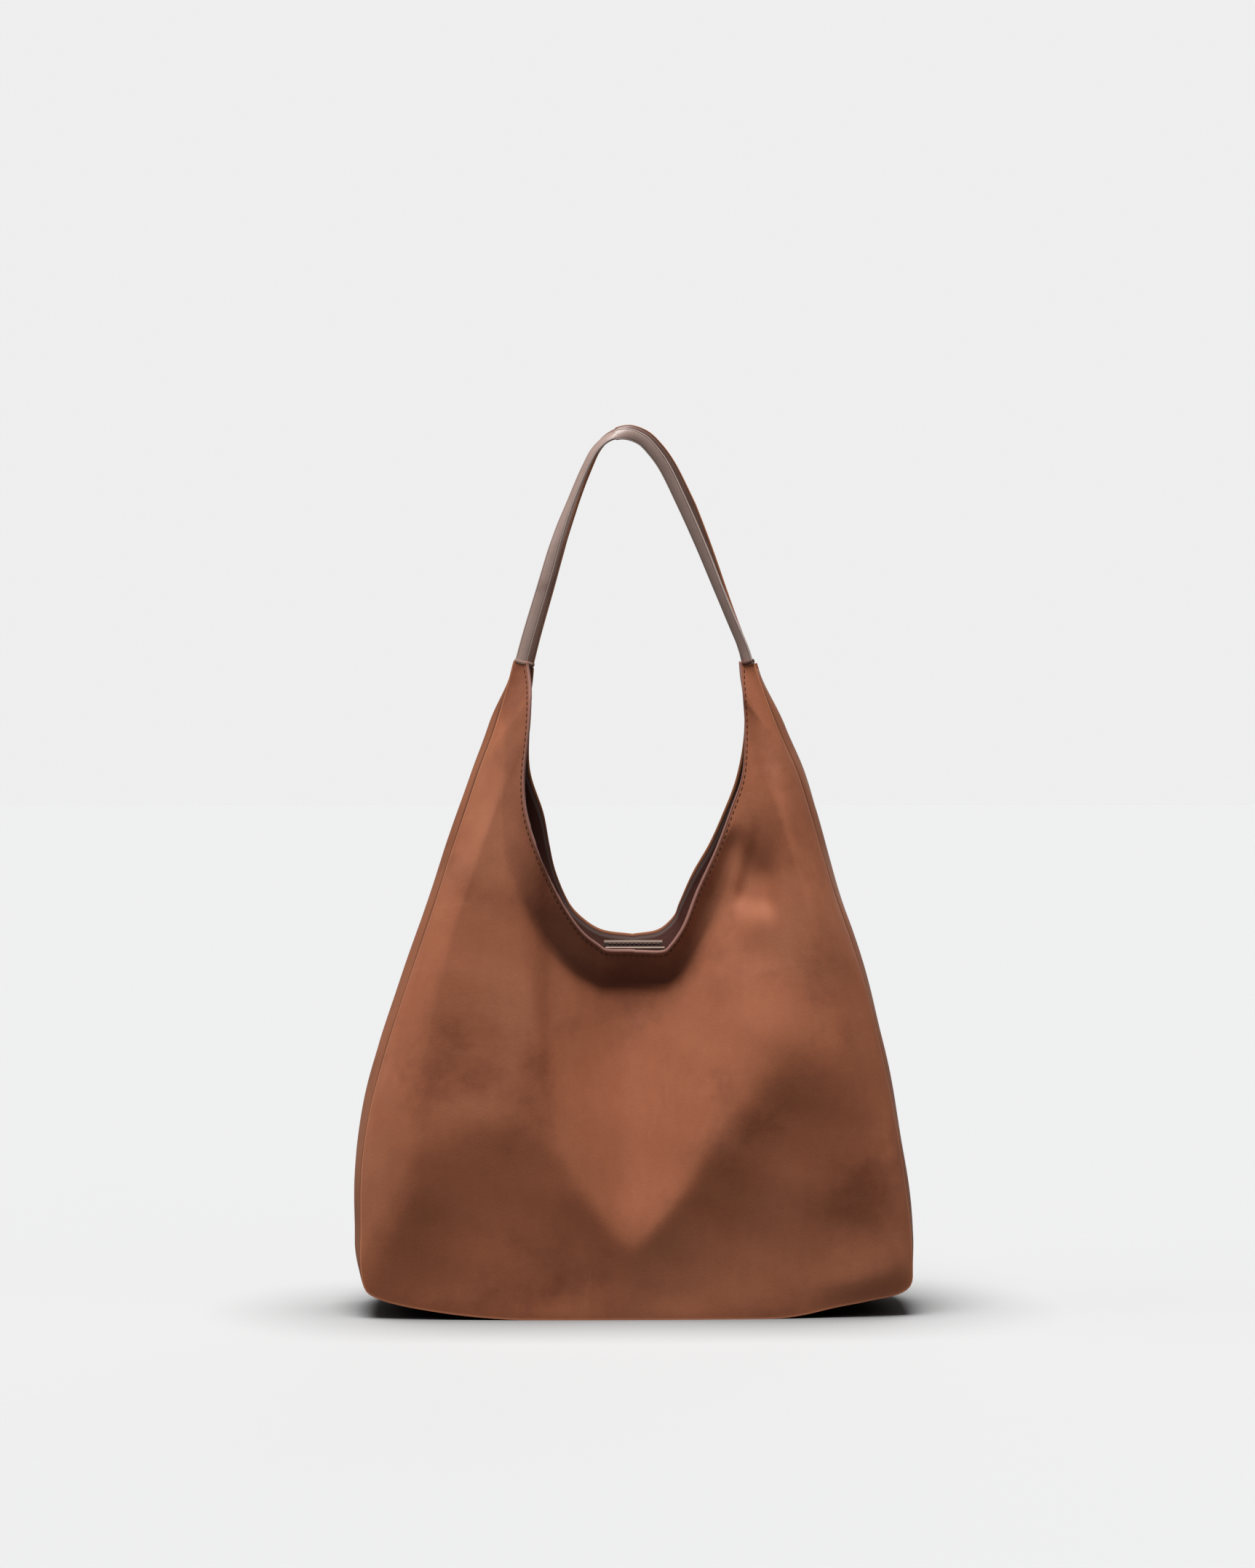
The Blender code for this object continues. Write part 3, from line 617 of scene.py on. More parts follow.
def nubuck(name, base, dark, pale, rim_wear=0.0, seam_wear=0.0, shade=0.0, curl=None, tucked=0.0, edge=0.0):
    f = Finish(name, 0.7, Sheen_Weight=0.05, Sheen_Roughness=0.5, Specular_IOR_Level=0.25)
    f.shader.inputs["Sheen Tint"].default_value = (1.0, 0.72, 0.55, 1.0)
    wax, nap = f.use(MOTTLING), f.use(NAP)
    tint = f.mixed(f.scaled(wax["Dark"], 0.70), base, dark)
    tint = f.mixed(f.scaled(wax["Pale"], 0.50), tint, pale)
    tint = f.mixed(f.scaled(wax["Rubs"], 0.26), tint, [c * 1.12 for c in pale])
    tint = f.mixed(f.scaled(nap["Speckle"], 0.14), tint, [c * 0.62 for c in dark])
    if rim_wear:
        rub = f.use(EDGE_RUB, Distance=f.mark("to_rim"), Width=0.0034)
        tint = f.mixed(f.scaled(rub["Rub"], rim_wear), tint, [c * 1.35 for c in pale])
    if seam_wear:
        rub = f.use(EDGE_RUB, Distance=f.mark("to_seam"), Width=0.0042)
        tint = f.mixed(f.scaled(rub["Rub"], seam_wear), tint, [c * 1.3 for c in pale])
    # painted shade: a dark line along the seam on the sides and the base, standing for the shadow in the groove under
    # the panel's edge
    if tucked:
        tint = f.mixed(ranged(f.tree, f.mark("to_seam"), 0.0008, 0.0030, tucked, 0.0), tint, [c * 0.22 for c in dark])
    # painted highlight: a pale line along the panel's seam edge, standing for the light caught by the rounded edge
    if edge:
        tint = f.mixed(ranged(f.tree, f.mark("to_seam"), 0.0007, 0.0017, edge, 0.0), tint, [c * 1.35 for c in pale])
    # curl: a pale colour on the turned-over edge; on the rim facings it is partly wear and partly a painted highlight
    # on the fold, on the tabs it is their pale cut edge
    if curl:
        tint = f.mixed(f.scaled(f.mark("lip"), 0.8), tint, (0.20, 0.155, 0.140))
        turned_over = maths(f.tree, "MULTIPLY", f.mark("curl"), ranged(f.tree, wax["Rubs"], 0.0, 1.0, 0.75, 1.0))
        tint = f.mixed(turned_over, tint, curl)
    # painted shadow: where the "strip" mark is high, just under the mouth's rim, the colour is pulled toward a
    # near-black red to stand for the shadow the rim casts
    if shade:
        tint = f.mixed(f.scaled(f.mark("strip"), shade), tint, (0.040, 0.0095, 0.0060))
    f.colour(tint)
    f.roughness(wax["Pale"], 0.72, 0.60)
    soft = cloud(f.tree, f.place, 70.0, 3.0, 0.5)
    first = f.bump(soft, 0.10, 0.002)
    f.bump(nap["Height"], 0.30, 0.00025, first)
    return f.material


def smooth_leather(name, base, edge, dark):
    f = Finish(name, 0.42, Specular_IOR_Level=0.5, Coat_Roughness=0.35)
    wax, nap = f.use(MOTTLING, Broad=30.0), f.use(NAP, Coarseness=0.8)
    tint = f.mixed(f.scaled(wax["Dark"], 0.5), base, dark)
    tint = f.mixed(f.scaled(wax["Rubs"], 0.35), tint, [c * 1.3 for c in base])
    tint = f.mixed(ranged(f.tree, f.mark("bead"), 0.2, 0.9, 0.0, 0.85), tint, edge)
    # painted shade: the creased line near each edge is darkened to stand for the shadow in the crease
    tint = f.mixed(ranged(f.tree, f.mark("groove"), 0.2, 0.9, 0.0, 0.75), tint, [c * 0.35 for c in dark])
    tint = f.mixed(f.scaled(nap["Speckle"], 0.18), tint, [c * 0.7 for c in dark])
    f.colour(tint)
    f.roughness(wax["Pale"], 0.50, 0.36)
    f.bump(nap["Height"], 0.22, 0.00018)
    return f.material


def cut_edge(name, base, dark):
    f = Finish(name, 0.5, Specular_IOR_Level=0.45)
    wax, nap = f.use(MOTTLING, Broad=40.0), f.use(NAP, Coarseness=0.7)
    tint = f.mixed(f.scaled(wax["Dark"], 0.6), base, dark)
    tint = f.mixed(f.scaled(nap["Speckle"], 0.3), tint, dark)
    f.colour(tint)
    f.roughness(nap["Speckle"], 0.42, 0.58)
    f.bump(nap["Height"], 0.3, 0.0002)
    return f.material


def cloth(name, base, dark, threads):
    f = Finish(name, 0.85, Sheen_Weight=0.15, Specular_IOR_Level=0.2)
    weave, wax = f.use(WEAVE, Threads=threads), f.use(MOTTLING, Broad=14.0)
    tint = f.mixed(f.scaled(weave["Gap"], 0.6), base, dark)
    tint = f.mixed(f.scaled(wax["Pale"], 0.25), tint, [c * 1.35 for c in base])
    f.colour(tint)
    f.roughness(wax["Pale"], 0.9, 0.78)
    f.bump(weave["Height"], 0.45, 0.0003)
    return f.material


def pressed_board(name, base, dark):
    f = Finish(name, 0.9, Specular_IOR_Level=0.2)
    wax, nap = f.use(MOTTLING, Broad=60.0), f.use(NAP, Coarseness=1.6)
    f.colour(f.mixed(f.scaled(nap["Speckle"], 0.4), f.mixed(f.scaled(wax["Dark"], 0.6), base, dark), dark))
    f.roughness(wax["Pale"], 0.95, 0.82)
    f.bump(nap["Height"], 0.4, 0.0003)
    return f.material


def aged_brass(name, base, dark):
    f = Finish(name, 0.35, Metallic=1.0)
    wax, nap = f.use(MOTTLING, Broad=260.0), f.use(NAP, Coarseness=0.6)
    f.colour(f.mixed(f.scaled(nap["Speckle"], 0.25), f.mixed(f.scaled(wax["Dark"], 0.7), base, dark), dark))
    f.roughness(wax["Pale"], 0.30, 0.46)
    f.bump(nap["Height"], 0.12, 0.0001)
    return f.material


def waxed_thread(name, base, dark):
    f = Finish(name, 0.6, Specular_IOR_Level=0.35)
    turns = node(f.tree, "ShaderNodeTexWave", {"Vector": f.place, "Scale": 900.0, "Distortion": 2.0, "Detail": 1.0}).outputs["Fac"]
    nap = f.use(NAP, Coarseness=0.5)
    f.colour(f.mixed(f.scaled(nap["Speckle"], 0.5), f.mixed(f.scaled(turns, 0.5), base, dark), dark))
    f.roughness(nap["Speckle"], 0.5, 0.7)
    f.bump(turns, 0.4, 0.0001)
    return f.material


BROWN, DEEP, PALE = (0.392, 0.129, 0.061), (0.236, 0.068, 0.033), (0.480, 0.182, 0.096)
# The panels' finish adds a painted highlight along the seam edges (edge=) and a painted shadow under the mouth's rim
# (shade=), besides its rubbed edges.
PANEL_FINISH = nubuck("waxed_nubuck_panels", BROWN, DEEP, PALE, rim_wear=0.25, seam_wear=0.20, shade=0.66, edge=0.75)
# The sides and the base use darker copies of the panel leather, the base darkest: painted shade for surfaces that turn
# away from the light. Their tucked= line is a painted shadow in the seam groove.
SIDE_FINISH = nubuck("waxed_nubuck_sides_painted_shade", (0.335, 0.114, 0.054), (0.225, 0.070, 0.032), (0.40, 0.153, 0.080), tucked=0.85)
BASE_FINISH = nubuck("waxed_nubuck_base_painted_shade", (0.300, 0.098, 0.045), (0.190, 0.057, 0.026), (0.37, 0.138, 0.070), tucked=0.6)
# The folded rim leather is a much darker copy of the body leather, a painted shade for the inside of the mouth. Its
# pale turned-over curl is partly a worn edge and partly a painted highlight on the fold.
FACING_DARK, FACING_DEEP, FACING_PALE = (0.098, 0.030, 0.021), (0.050, 0.014, 0.009), (0.150, 0.052, 0.038)
FACING_FINISH = nubuck("folded_front_edge", FACING_DARK, FACING_DEEP, FACING_PALE, curl=(0.40, 0.195, 0.158))
BACK_FACING_FINISH = nubuck("folded_back_edge", FACING_DARK, FACING_DEEP, FACING_PALE, curl=(0.40, 0.150, 0.062))
# The tabs' faces are very dark: partly the tab leather's own dark colour and partly a painted shade for the inside of
# the mouth.
TAB_FACE_PAINTED_SHADE_FINISH = nubuck("tab_leather_darkened_painted_shade", (0.040, 0.016, 0.012), (0.022, 0.008, 0.006), (0.065, 0.028, 0.022), curl=(0.62, 0.46, 0.37))
TAB_EDGE = cut_edge("pale_cut_edge", (0.60, 0.44, 0.35), (0.36, 0.23, 0.17))
# The collars are one leather in two copies: a lighter one for painted light on the left and a darker one for painted
# shade on the right.
COLLAR_PAINTED_LIGHT_FINISH = nubuck("collar_leather_painted_light", (0.38, 0.24, 0.19), (0.16, 0.075, 0.055), (0.50, 0.36, 0.30))
COLLAR_PAINTED_SHADE_FINISH = nubuck("collar_leather_painted_shade", (0.115, 0.050, 0.038), (0.040, 0.015, 0.011), (0.20, 0.10, 0.08))
STRAP_FINISH = smooth_leather("smooth_strap_leather", (0.43, 0.305, 0.262), (0.60, 0.47, 0.43), (0.250, 0.155, 0.125))
# The back strap uses a darker copy of the strap leather: painted shade for the strap lying behind the front one.
BACK_STRAP_FINISH = smooth_leather("smooth_strap_leather_back_painted_shade", (0.270, 0.155, 0.122), (0.50, 0.165, 0.055), (0.120, 0.050, 0.035))
RAW_EDGE = cut_edge("cut_leather_edge", (0.48, 0.145, 0.042), (0.26, 0.070, 0.022))
LINING_FINISH = cloth("lining_weave", (0.150, 0.074, 0.056), (0.055, 0.026, 0.020), 1100.0)
TAPE_FINISH = cloth("core_tape_weave", (0.60, 0.55, 0.48), (0.38, 0.34, 0.29), 800.0)
BOARD_FINISH = pressed_board("pressed_base_board", (0.30, 0.22, 0.15), (0.17, 0.115, 0.075))
BRASS_FINISH = aged_brass("aged_brass", (0.46, 0.34, 0.19), (0.20, 0.135, 0.07))
THREAD_FINISH = waxed_thread("brown_thread", (0.125, 0.042, 0.025), (0.052, 0.018, 0.011))
TAB_THREAD_FINISH = waxed_thread("pale_thread", (0.30, 0.19, 0.14), (0.15, 0.09, 0.06))


# ------------------------------------------------------------------ the body


def away_from_middle(points):
    return np.stack([np.zeros(points.shape[:-1]), points[..., 1], np.zeros(points.shape[:-1])], axis=-1)


def away_from_inside(points):
    return points - np.array([0.0, 0.0, 0.17])


def make_panel(face, name, node_name):
    along, width, rows, points = panel_grid(face, 380)
    level, strip = flap(FRONT_SLUMP if face == FRONT else BACK_SLUMP, points[..., 0], rows * width[:, None])
    # The "strip" mark carries a painted shadow under the rim, strongest toward its lower edge; it does not change the
    # shape.
    marks = {"to_rim": rows * width[:, None], "to_seam": (1 - rows) * width[:, None], "strip": level * step_up(strip / 0.20) * (1.25 - 0.55 * strip)}
    piece = surface(name, points, away_from_middle, LEATHER, marks)
    edges = cut_faces(piece)
    finish(piece, "bag", "body_leather", PANEL_FINISH, RAW_EDGE, replaces=(node_name,))
    for face_index in edges:
        piece.data.polygons[face_index].material_index = 1
    piece.data.set_sharp_from_angle(angle=math.radians(50))
    return piece


def cut_faces(piece):
    """The faces round the edge of a walled sheet, which its wall made last."""
    return range(2 * piece["sheet_faces"], len(piece.data.polygons))


def make_facing(face, name, node_name):
    """The leather folded over the rim and down inside it."""
    along = np.linspace(-1, 1, 321)
    _, width = panel_points(face, along, np.zeros_like(along))
    reach = np.minimum(FACING_WIDTH, 0.45 * width)
    down = np.concatenate([np.linspace(0, 0.2, 4), np.linspace(0.3, 1, 8)])
    rows = down[None, :] * (reach / width)[:, None]
    base, _ = panel_points(face, np.repeat(along[:, None], rows.shape[1], 1), rows)
    outward = normals_of(base, away_from_middle(base))
    drop = unit(base[:, 1] - base[:, 0])
    out = outward[:, 0]
    lap, inside = 0.0004, -0.0024
    radius = (lap - inside) / 2
    curl = []
    for angle in np.linspace(0, math.pi, 9):
        rise, shift = radius * math.sin(angle), lap - radius * (1 - math.cos(angle))
        curl.append(base[:, 0] - drop * (rise - 0.0004) + out * shift)
    outer = [base[:, 0] + drop * fall + out * (lap - 0.0003 * (fall > 0.0009)) for fall in (0.0010, 0.0008)]
    inner = [base[:, k] + outward[:, k] * inside for k in range(1, base.shape[1])]
    points = np.stack(outer + curl + inner, axis=1)
    from_rim = np.concatenate([np.zeros(len(outer) + len(curl)), down[1:]])[None, :] * reach[:, None]
    piece = mesh_piece(name, points, grid_faces(len(along), points.shape[1], flip=face == BACK))
    for mark, values in (("curl", 1 - step_up(from_rim / 0.0016)), ("lip", np.exp(-(((from_rim - 0.0026) / 0.0007) ** 2)))):
        layer = piece.data.attributes.new(mark, "FLOAT", "POINT")
        layer.data.foreach_set("value", values.astype(np.float32).ravel())
    wall = piece.modifiers.new("wall", "SOLIDIFY")
    wall.thickness = 0.0004
    wall.offset = -1
    apply_modifier(piece, wall)
    return finish(piece, "bag", "body_leather", FACING_FINISH if face == FRONT else BACK_FACING_FINISH, replaces=(node_name,))


def make_lining(face, name, node_name):
    along = np.linspace(-0.93, 0.93, 181)
    _, width = panel_points(face, along, np.zeros_like(along))
    first = np.minimum(FACING_WIDTH - 0.004, 0.38 * width) / width
    rows = first[:, None] + (1 - first)[:, None] * np.linspace(0, 1, 40)[None, :]
    base, _ = panel_points(face, np.repeat(along[:, None], rows.shape[1], 1), rows)
    points = base - normals_of(base, away_from_middle(base)) * 0.0019
    piece = surface(name, points, lambda p: -away_from_middle(p), LINING)
    return finish(piece, "bag", "lining_cloth", LINING_FINISH, replaces=(node_name,))


def side_share(x_limit):
    """along at which the outline's underside reaches x_limit on the right."""
    along = np.linspace(0, 1, 4000)
    seam = signed(SEAM_LINES, along)
    low = seam[:, 1] < 0.02
    return float(np.interp(x_limit, seam[low, 0], along[low]))


BASE_SHARE = side_share(0.137)


def side_piece(name, node_name, first, last, count, slot_finish, depth=0.0, wall=LEATHER, slot="body_leather", inward=False):
    along = np.linspace(first, last, count)
    across = np.sin(np.linspace(-math.pi / 2, math.pi / 2, 33))
    points = side_points(along, across)
    if np.any(depth):
        points = points - normals_of(points, away_from_inside(points)) * np.reshape(depth, (-1, 1, 1))
    towards = (lambda p: -away_from_inside(p)) if inward else away_from_inside
    piece = surface(name, points, towards, wall, {"to_seam": (1 - np.abs(across)) * np.abs(points[:, :1, 1])})
    return finish(piece, "bag", slot, slot_finish, replaces=(node_name,))


for face, word in ((FRONT, "front"), (BACK, "back")):
    make_panel(face, f"{word}_body_leather", f"{word}_panel")
    make_facing(face, f"{word}_folded_rim", f"{word}_facing")
    make_lining(face, f"{word}_inner_lining", f"{word}_lining")

TOP_SHARE = 0.992
side_piece("left_side_leather", "left_gusset", -TOP_SHARE, -BASE_SHARE, 240, SIDE_FINISH)
side_piece("right_side_leather", "right_gusset", BASE_SHARE, TOP_SHARE, 240, SIDE_FINISH)
side_piece("base_leather", "base_panel", -BASE_SHARE + 0.0004, BASE_SHARE - 0.0004, 90, BASE_FINISH)
lining_along = np.linspace(-0.93, 0.93, 320)
lining_depth = 0.0018 + 0.0028 * step_up((BASE_SHARE + 0.02 - np.abs(lining_along)) / 0.03)
side_piece("side_and_base_lining", "gusset_lining", -0.93, 0.93, 320, LINING_FINISH, lining_depth, LINING, "lining_cloth", True)

# The stiff board lies on the base leather, clear of its seams.
BOARD, BOARD_RISE, BOARD_REACH = 0.0015, 0.0022, 0.91
board_along = np.linspace(-BASE_SHARE + 0.004, BASE_SHARE - 0.004, 60)
board_points = side_points(board_along, np.linspace(-BOARD_REACH, BOARD_REACH, 13))
board_points = board_points - normals_of(board_points, away_from_inside(board_points)) * BOARD_RISE
stiff_board = surface("stiff_base_board", board_points, away_from_inside, BOARD)
finish(stiff_board, "bag", "stiff_board", BOARD_FINISH, replaces=("base_board",))


def rim_stitches(face, name):
    along = np.linspace(-0.985, 0.985, 1400)
    _, width = panel_points(face, along, np.zeros_like(along))
    spots, _ = panel_points(face, along[:, None], (STITCH_LINE / width)[:, None])
    ahead, _ = panel_points(face, along[:, None], ((STITCH_LINE + 0.0012) / width)[:, None])
    path, beyond = spots[:, 0], ahead[:, 0]
    forward = np.gradient(path, axis=0)
    up = unit(np.cross(forward, beyond - path))
    up *= np.sign(up[:, 1:2] * face)
    piece = stitches(name, path, up)
    finish(piece, "bag", "body_leather", THREAD_FINISH)


rim_stitches(FRONT, "front_rim_stitching")
rim_stitches(BACK, "back_rim_stitching")


# ------------------------------------------------------------------ straps and collars

STRAP_FOOT_Y, STRAP_TOP_Y = 0.0117, 0.0034
# Along the strap from its left foot: how far the back strap has slid right and up, and how far each strap is twisted.
BACK_SLIP = [(0.0, 0.0050, 0.0), (0.2, 0.0036, 0.0), (0.3, 0.0034, 0.0), (0.38, 0.0026, 0.0006), (0.45, 0.0016, 0.0022),
             (0.5, 0.0020, 0.0032), (0.56, 0.0036, 0.0026), (0.68, 0.0054, 0.0008), (0.85, 0.0032, 0.0), (1.0, 0.0010, 0.0)]
TWIST = [(0.0, -4.0), (0.15, -10.0), (0.26, -40.0), (0.36, -60.0), (0.43, -58.0), (0.48, -30.0), (0.53, 2.0), (0.62, 16.0),
         (0.78, 34.0), (0.90, 46.0), (1.0, 40.0)]


def strap_centre(face, shares):
    line = smooth_line(STRAP_LINE, 30)
    spot = share_of(line, shares)
    rise = np.clip((spot[:, 1] - 0.4416) / 0.153, 0, 1)
    y = face * (STRAP_FOOT_Y + (STRAP_TOP_Y - STRAP_FOOT_Y) * rise**0.8)
    slip = np.array(BACK_SLIP)
    sideways, upward = (np.interp(shares, slip[:, 0], slip[:, k]) if face == BACK else np.zeros(len(spot)) for k in (1, 2))
    return np.stack([spot[:, 0] + sideways, y, spot[:, 1] + upward], axis=-1)


def strap_section():
    """A softly domed face, a creased line, and a rounded edge bead, front and back."""
    half, thick = 0.0041, 0.0013
    across = np.array([-1.0, -0.985, -0.94, -0.88, -0.82, -0.77, -0.72, -0.66, -0.5, -0.25, 0.0, 0.25, 0.5, 0.66, 0.72, 0.77, 0.82,
                       0.88, 0.94, 0.985, 1.0])
    edge = np.clip((1 - np.abs(across)) / 0.13, 0, 1)
    rounded = np.sqrt(1 - (1 - edge) ** 2)
    high = thick * (0.68 * rounded + 0.32 * rounded * hump(across))
    high = high - 0.00028 * np.exp(-(((np.abs(across) - 0.77) / 0.045) ** 2))
    front = np.stack([across * half, high], axis=-1)
    back = np.stack([across[::-1] * half, -high[::-1]], axis=-1)[1:-1]
    ring = np.vstack([front, back])
    share = np.abs(ring[:, 0]) / half
    bead = step_up((share - 0.80) / 0.06)
    groove = np.exp(-(((share - 0.77) / 0.05) ** 2))
    return ring, bead, groove


def make_strap(face, name, node_name):
    shares = np.linspace(0, 1, 421)
    centre = strap_centre(face, shares)
    foot_left, foot_right = centre[0].copy(), centre[-1].copy()
    forward = unit(np.gradient(centre, axis=0))
    through = np.stack([np.zeros(len(centre)), np.full(len(centre), float(face)), np.zeros(len(centre))], axis=-1)
    through = unit(through - forward * np.sum(through * forward, axis=-1, keepdims=True))
    across = np.cross(forward, through)
    twist = np.radians(gentle(TWIST, shares))[:, None]
    through, across = through * np.cos(twist) + across * np.sin(twist), across * np.cos(twist) - through * np.sin(twist)
    ring, bead, groove = strap_section()
    tails = []
    for end, step in ((foot_left, 1), (foot_right, -1)):
        direction = forward[0] if step > 0 else forward[-1]
        tails.append(end - step * direction * 0.0030)
    centre = np.vstack([tails[0][None], centre, tails[1][None]])
    across = np.vstack([across[:1], across, across[-1:]])
    through = np.vstack([through[:1], through, through[-1:]])
    piece = sweep(name, centre, across, through, ring)
    for mark, values in (("bead", bead), ("groove", groove)):
        layer = piece.data.attributes.new(mark, "FLOAT", "POINT")
        layer.data.foreach_set("value", np.tile(values, len(centre)).astype(np.float32))
    finish(piece, None, "strap_leather", STRAP_FINISH if face == FRONT else BACK_STRAP_FINISH, replaces=(node_name,))
    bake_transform(piece)
    return piece


def make_core(face, name, node_name):
    """The woven tape sewn inside a strap, lying as the strap lies."""
    shares = np.linspace(0, 1, 211)
    centre = strap_centre(face, shares)
    forward = unit(np.gradient(centre, axis=0))
    through = unit(np.array([0.0, float(face), 0.0]) - forward * forward[:, 1:2] * face)
    across = np.cross(forward, through)
    twist = np.radians(gentle(TWIST, shares))[:, None]
    through, across = through * np.cos(twist) + across * np.sin(twist), across * np.cos(twist) - through * np.sin(twist)
    half, thick = 0.0026, 0.0003
    ring = [(half * math.cos(a), thick * math.copysign(abs(math.sin(a)) ** 0.5, math.sin(a))) for a in np.linspace(0, 2 * math.pi, 21)[:-1]]
    piece = sweep(name, centre, across, through, ring)
    finish(piece, None, "core_tape", TAPE_FINISH, replaces=(node_name,))
    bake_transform(piece)


def make_collar(face, side, name, node_name):
    """A rolled wrap of leather round the arm tip and the strap's foot."""
    line = strap_centre(face, np.array([0.0, 0.01]) if side < 0 else np.array([1.0, 0.99]))
    forward = unit(line[1] - line[0])
    centre = line[0] - forward * 0.0010
    through = np.array([0.0, float(face), 0.0])
    across = unit(np.cross(forward, through))
    through = np.cross(across, forward)
    angle = np.linspace(0, 2 * np.pi, 49)[:-1]
    lift = np.linspace(0, 2 * np.pi, 15)[:-1]
    wide, deep, roll = (0.0041, 0.0019, 0.0006) if side < 0 else (0.0036, 0.0024, 0.0009)
    corner = 0.55
    ring_x = np.sign(np.cos(angle)) * np.abs(np.cos(angle)) ** corner
    ring_y = np.sign(np.sin(angle)) * np.abs(np.sin(angle)) ** corner
    points = np.zeros((len(angle), len(lift), 3))
    for k, turn in enumerate(lift):
        grow = roll * math.cos(turn)
        rise = 0.0013 * math.sin(turn)
        spot = centre + across * (ring_x * (wide + grow))[:, None] + through * (ring_y * (deep + grow))[:, None]
        points[:, k] = spot + forward * (rise + 0.00025 * np.sin(angle * 3)[:, None])
    closed = np.concatenate([points, points[:1]], axis=0)
    faces = grid_faces(len(angle) + 1, len(lift), wrap=True)
    piece = mesh_piece(name, closed, faces)
    bm = bmesh.new()
    bm.from_mesh(piece.data)
    bmesh.ops.remove_doubles(bm, verts=bm.verts, dist=1e-6)
    bmesh.ops.recalc_face_normals(bm, faces=bm.faces)
    bm.to_mesh(piece.data)
    bm.free()
    piece.data.shade_smooth()
    # painted light and shade: the left collars take the lighter copy and the right collars the darker copy of the same
    # leather
    return finish(piece, "bag", "body_leather", COLLAR_PAINTED_LIGHT_FINISH if side < 0 else COLLAR_PAINTED_SHADE_FINISH, replaces=(node_name,))


for face, word in ((FRONT, "front"), (BACK, "back")):
    make_strap(face, f"{word}_strap_leather", f"{word}_strap")
    make_core(face, f"{word}_strap_tape", f"{word}_strap_core")
    for side, side_word in ((-1, "left"), (1, "right")):
        make_collar(face, side, f"{word}_{side_word}_collar", f"{word}_{side_word}_keeper")


# ------------------------------------------------------------------ tabs and snap

TAB_EDGES = {FRONT: ((-0.0190, 0.2470), (-0.0077, 0.2165)), BACK: ((0.0188, 0.2500), (0.0057, 0.2165))}
TAB_HALF, TAB_LEATHER = 0.0200, 0.0015


def tab_frame(face):
    """A tab's outer top, its direction down and its direction inward."""
    top, foot = (np.array([0.0, *spot]) for spot in TAB_EDGES[face])
    down = unit(foot - top)
    inward = unit(np.array([0.0, -down[2], down[1]]) * -face)
    return top, down, inward, float(np.linalg.norm(foot - top))


def make_tab(face, name, body, node_name):
    top, down, inward, height = tab_frame(face)
    across = np.array([1.0, 0.0, 0.0])
    corner = 0.004
    falls = np.unique(np.concatenate([np.linspace(0, 0.0024, 7), np.linspace(0.0024, height - corner, 14),
                                      height - corner + corner * np.sin(np.linspace(0, math.pi / 2, 12))]))
    past = np.clip(falls - (height - corner), 0, corner)
    half = TAB_HALF - corner + np.sqrt(corner**2 - past**2)
    spread = np.linspace(-1, 1, 41)
    points = top + falls[:, None, None] * down + (half[:, None] * spread[None, :])[..., None] * across
    points = points + inward * TAB_LEATHER
    piece = surface(name, points, lambda p: np.broadcast_to(inward, p.shape), TAB_LEATHER,
                    {"curl": 1 - step_up((falls[:, None] - 0.0010) / 0.0010)})
    edges = cut_faces(piece)
    # the tab's faces take the darkened leather, partly its own colour and partly a painted shade for the inside of the
    # mouth
    finish(piece, body, "body_leather", TAB_FACE_PAINTED_SHADE_FINISH, TAB_EDGE, replaces=(node_name,))
    for face_index in edges:
        piece.data.polygons[face_index].material_index = 1
    piece.data.set_sharp_from_angle(angle=math.radians(50))
    inset = 0.0026
    x, low, high = TAB_HALF - inset, inset, height - inset
    corners = [(-x, low), (x, low), (x, high), (-x, high), (-x, low)]
    path = np.vstack([np.linspace(a, b, 30, endpoint=False) for a, b in zip(corners[:-1], corners[1:])])
    spots = np.array([top + across * a + down * h + inward * (TAB_LEATHER + 0.0001) for a, h in path])
    rows = stitches(name + "_stitching", spots, np.repeat(inward[None], len(spots), 0), 0.0030, 0.0022, 0.00026)
    finish(rows, body, "body_leather", TAB_THREAD_FINISH)


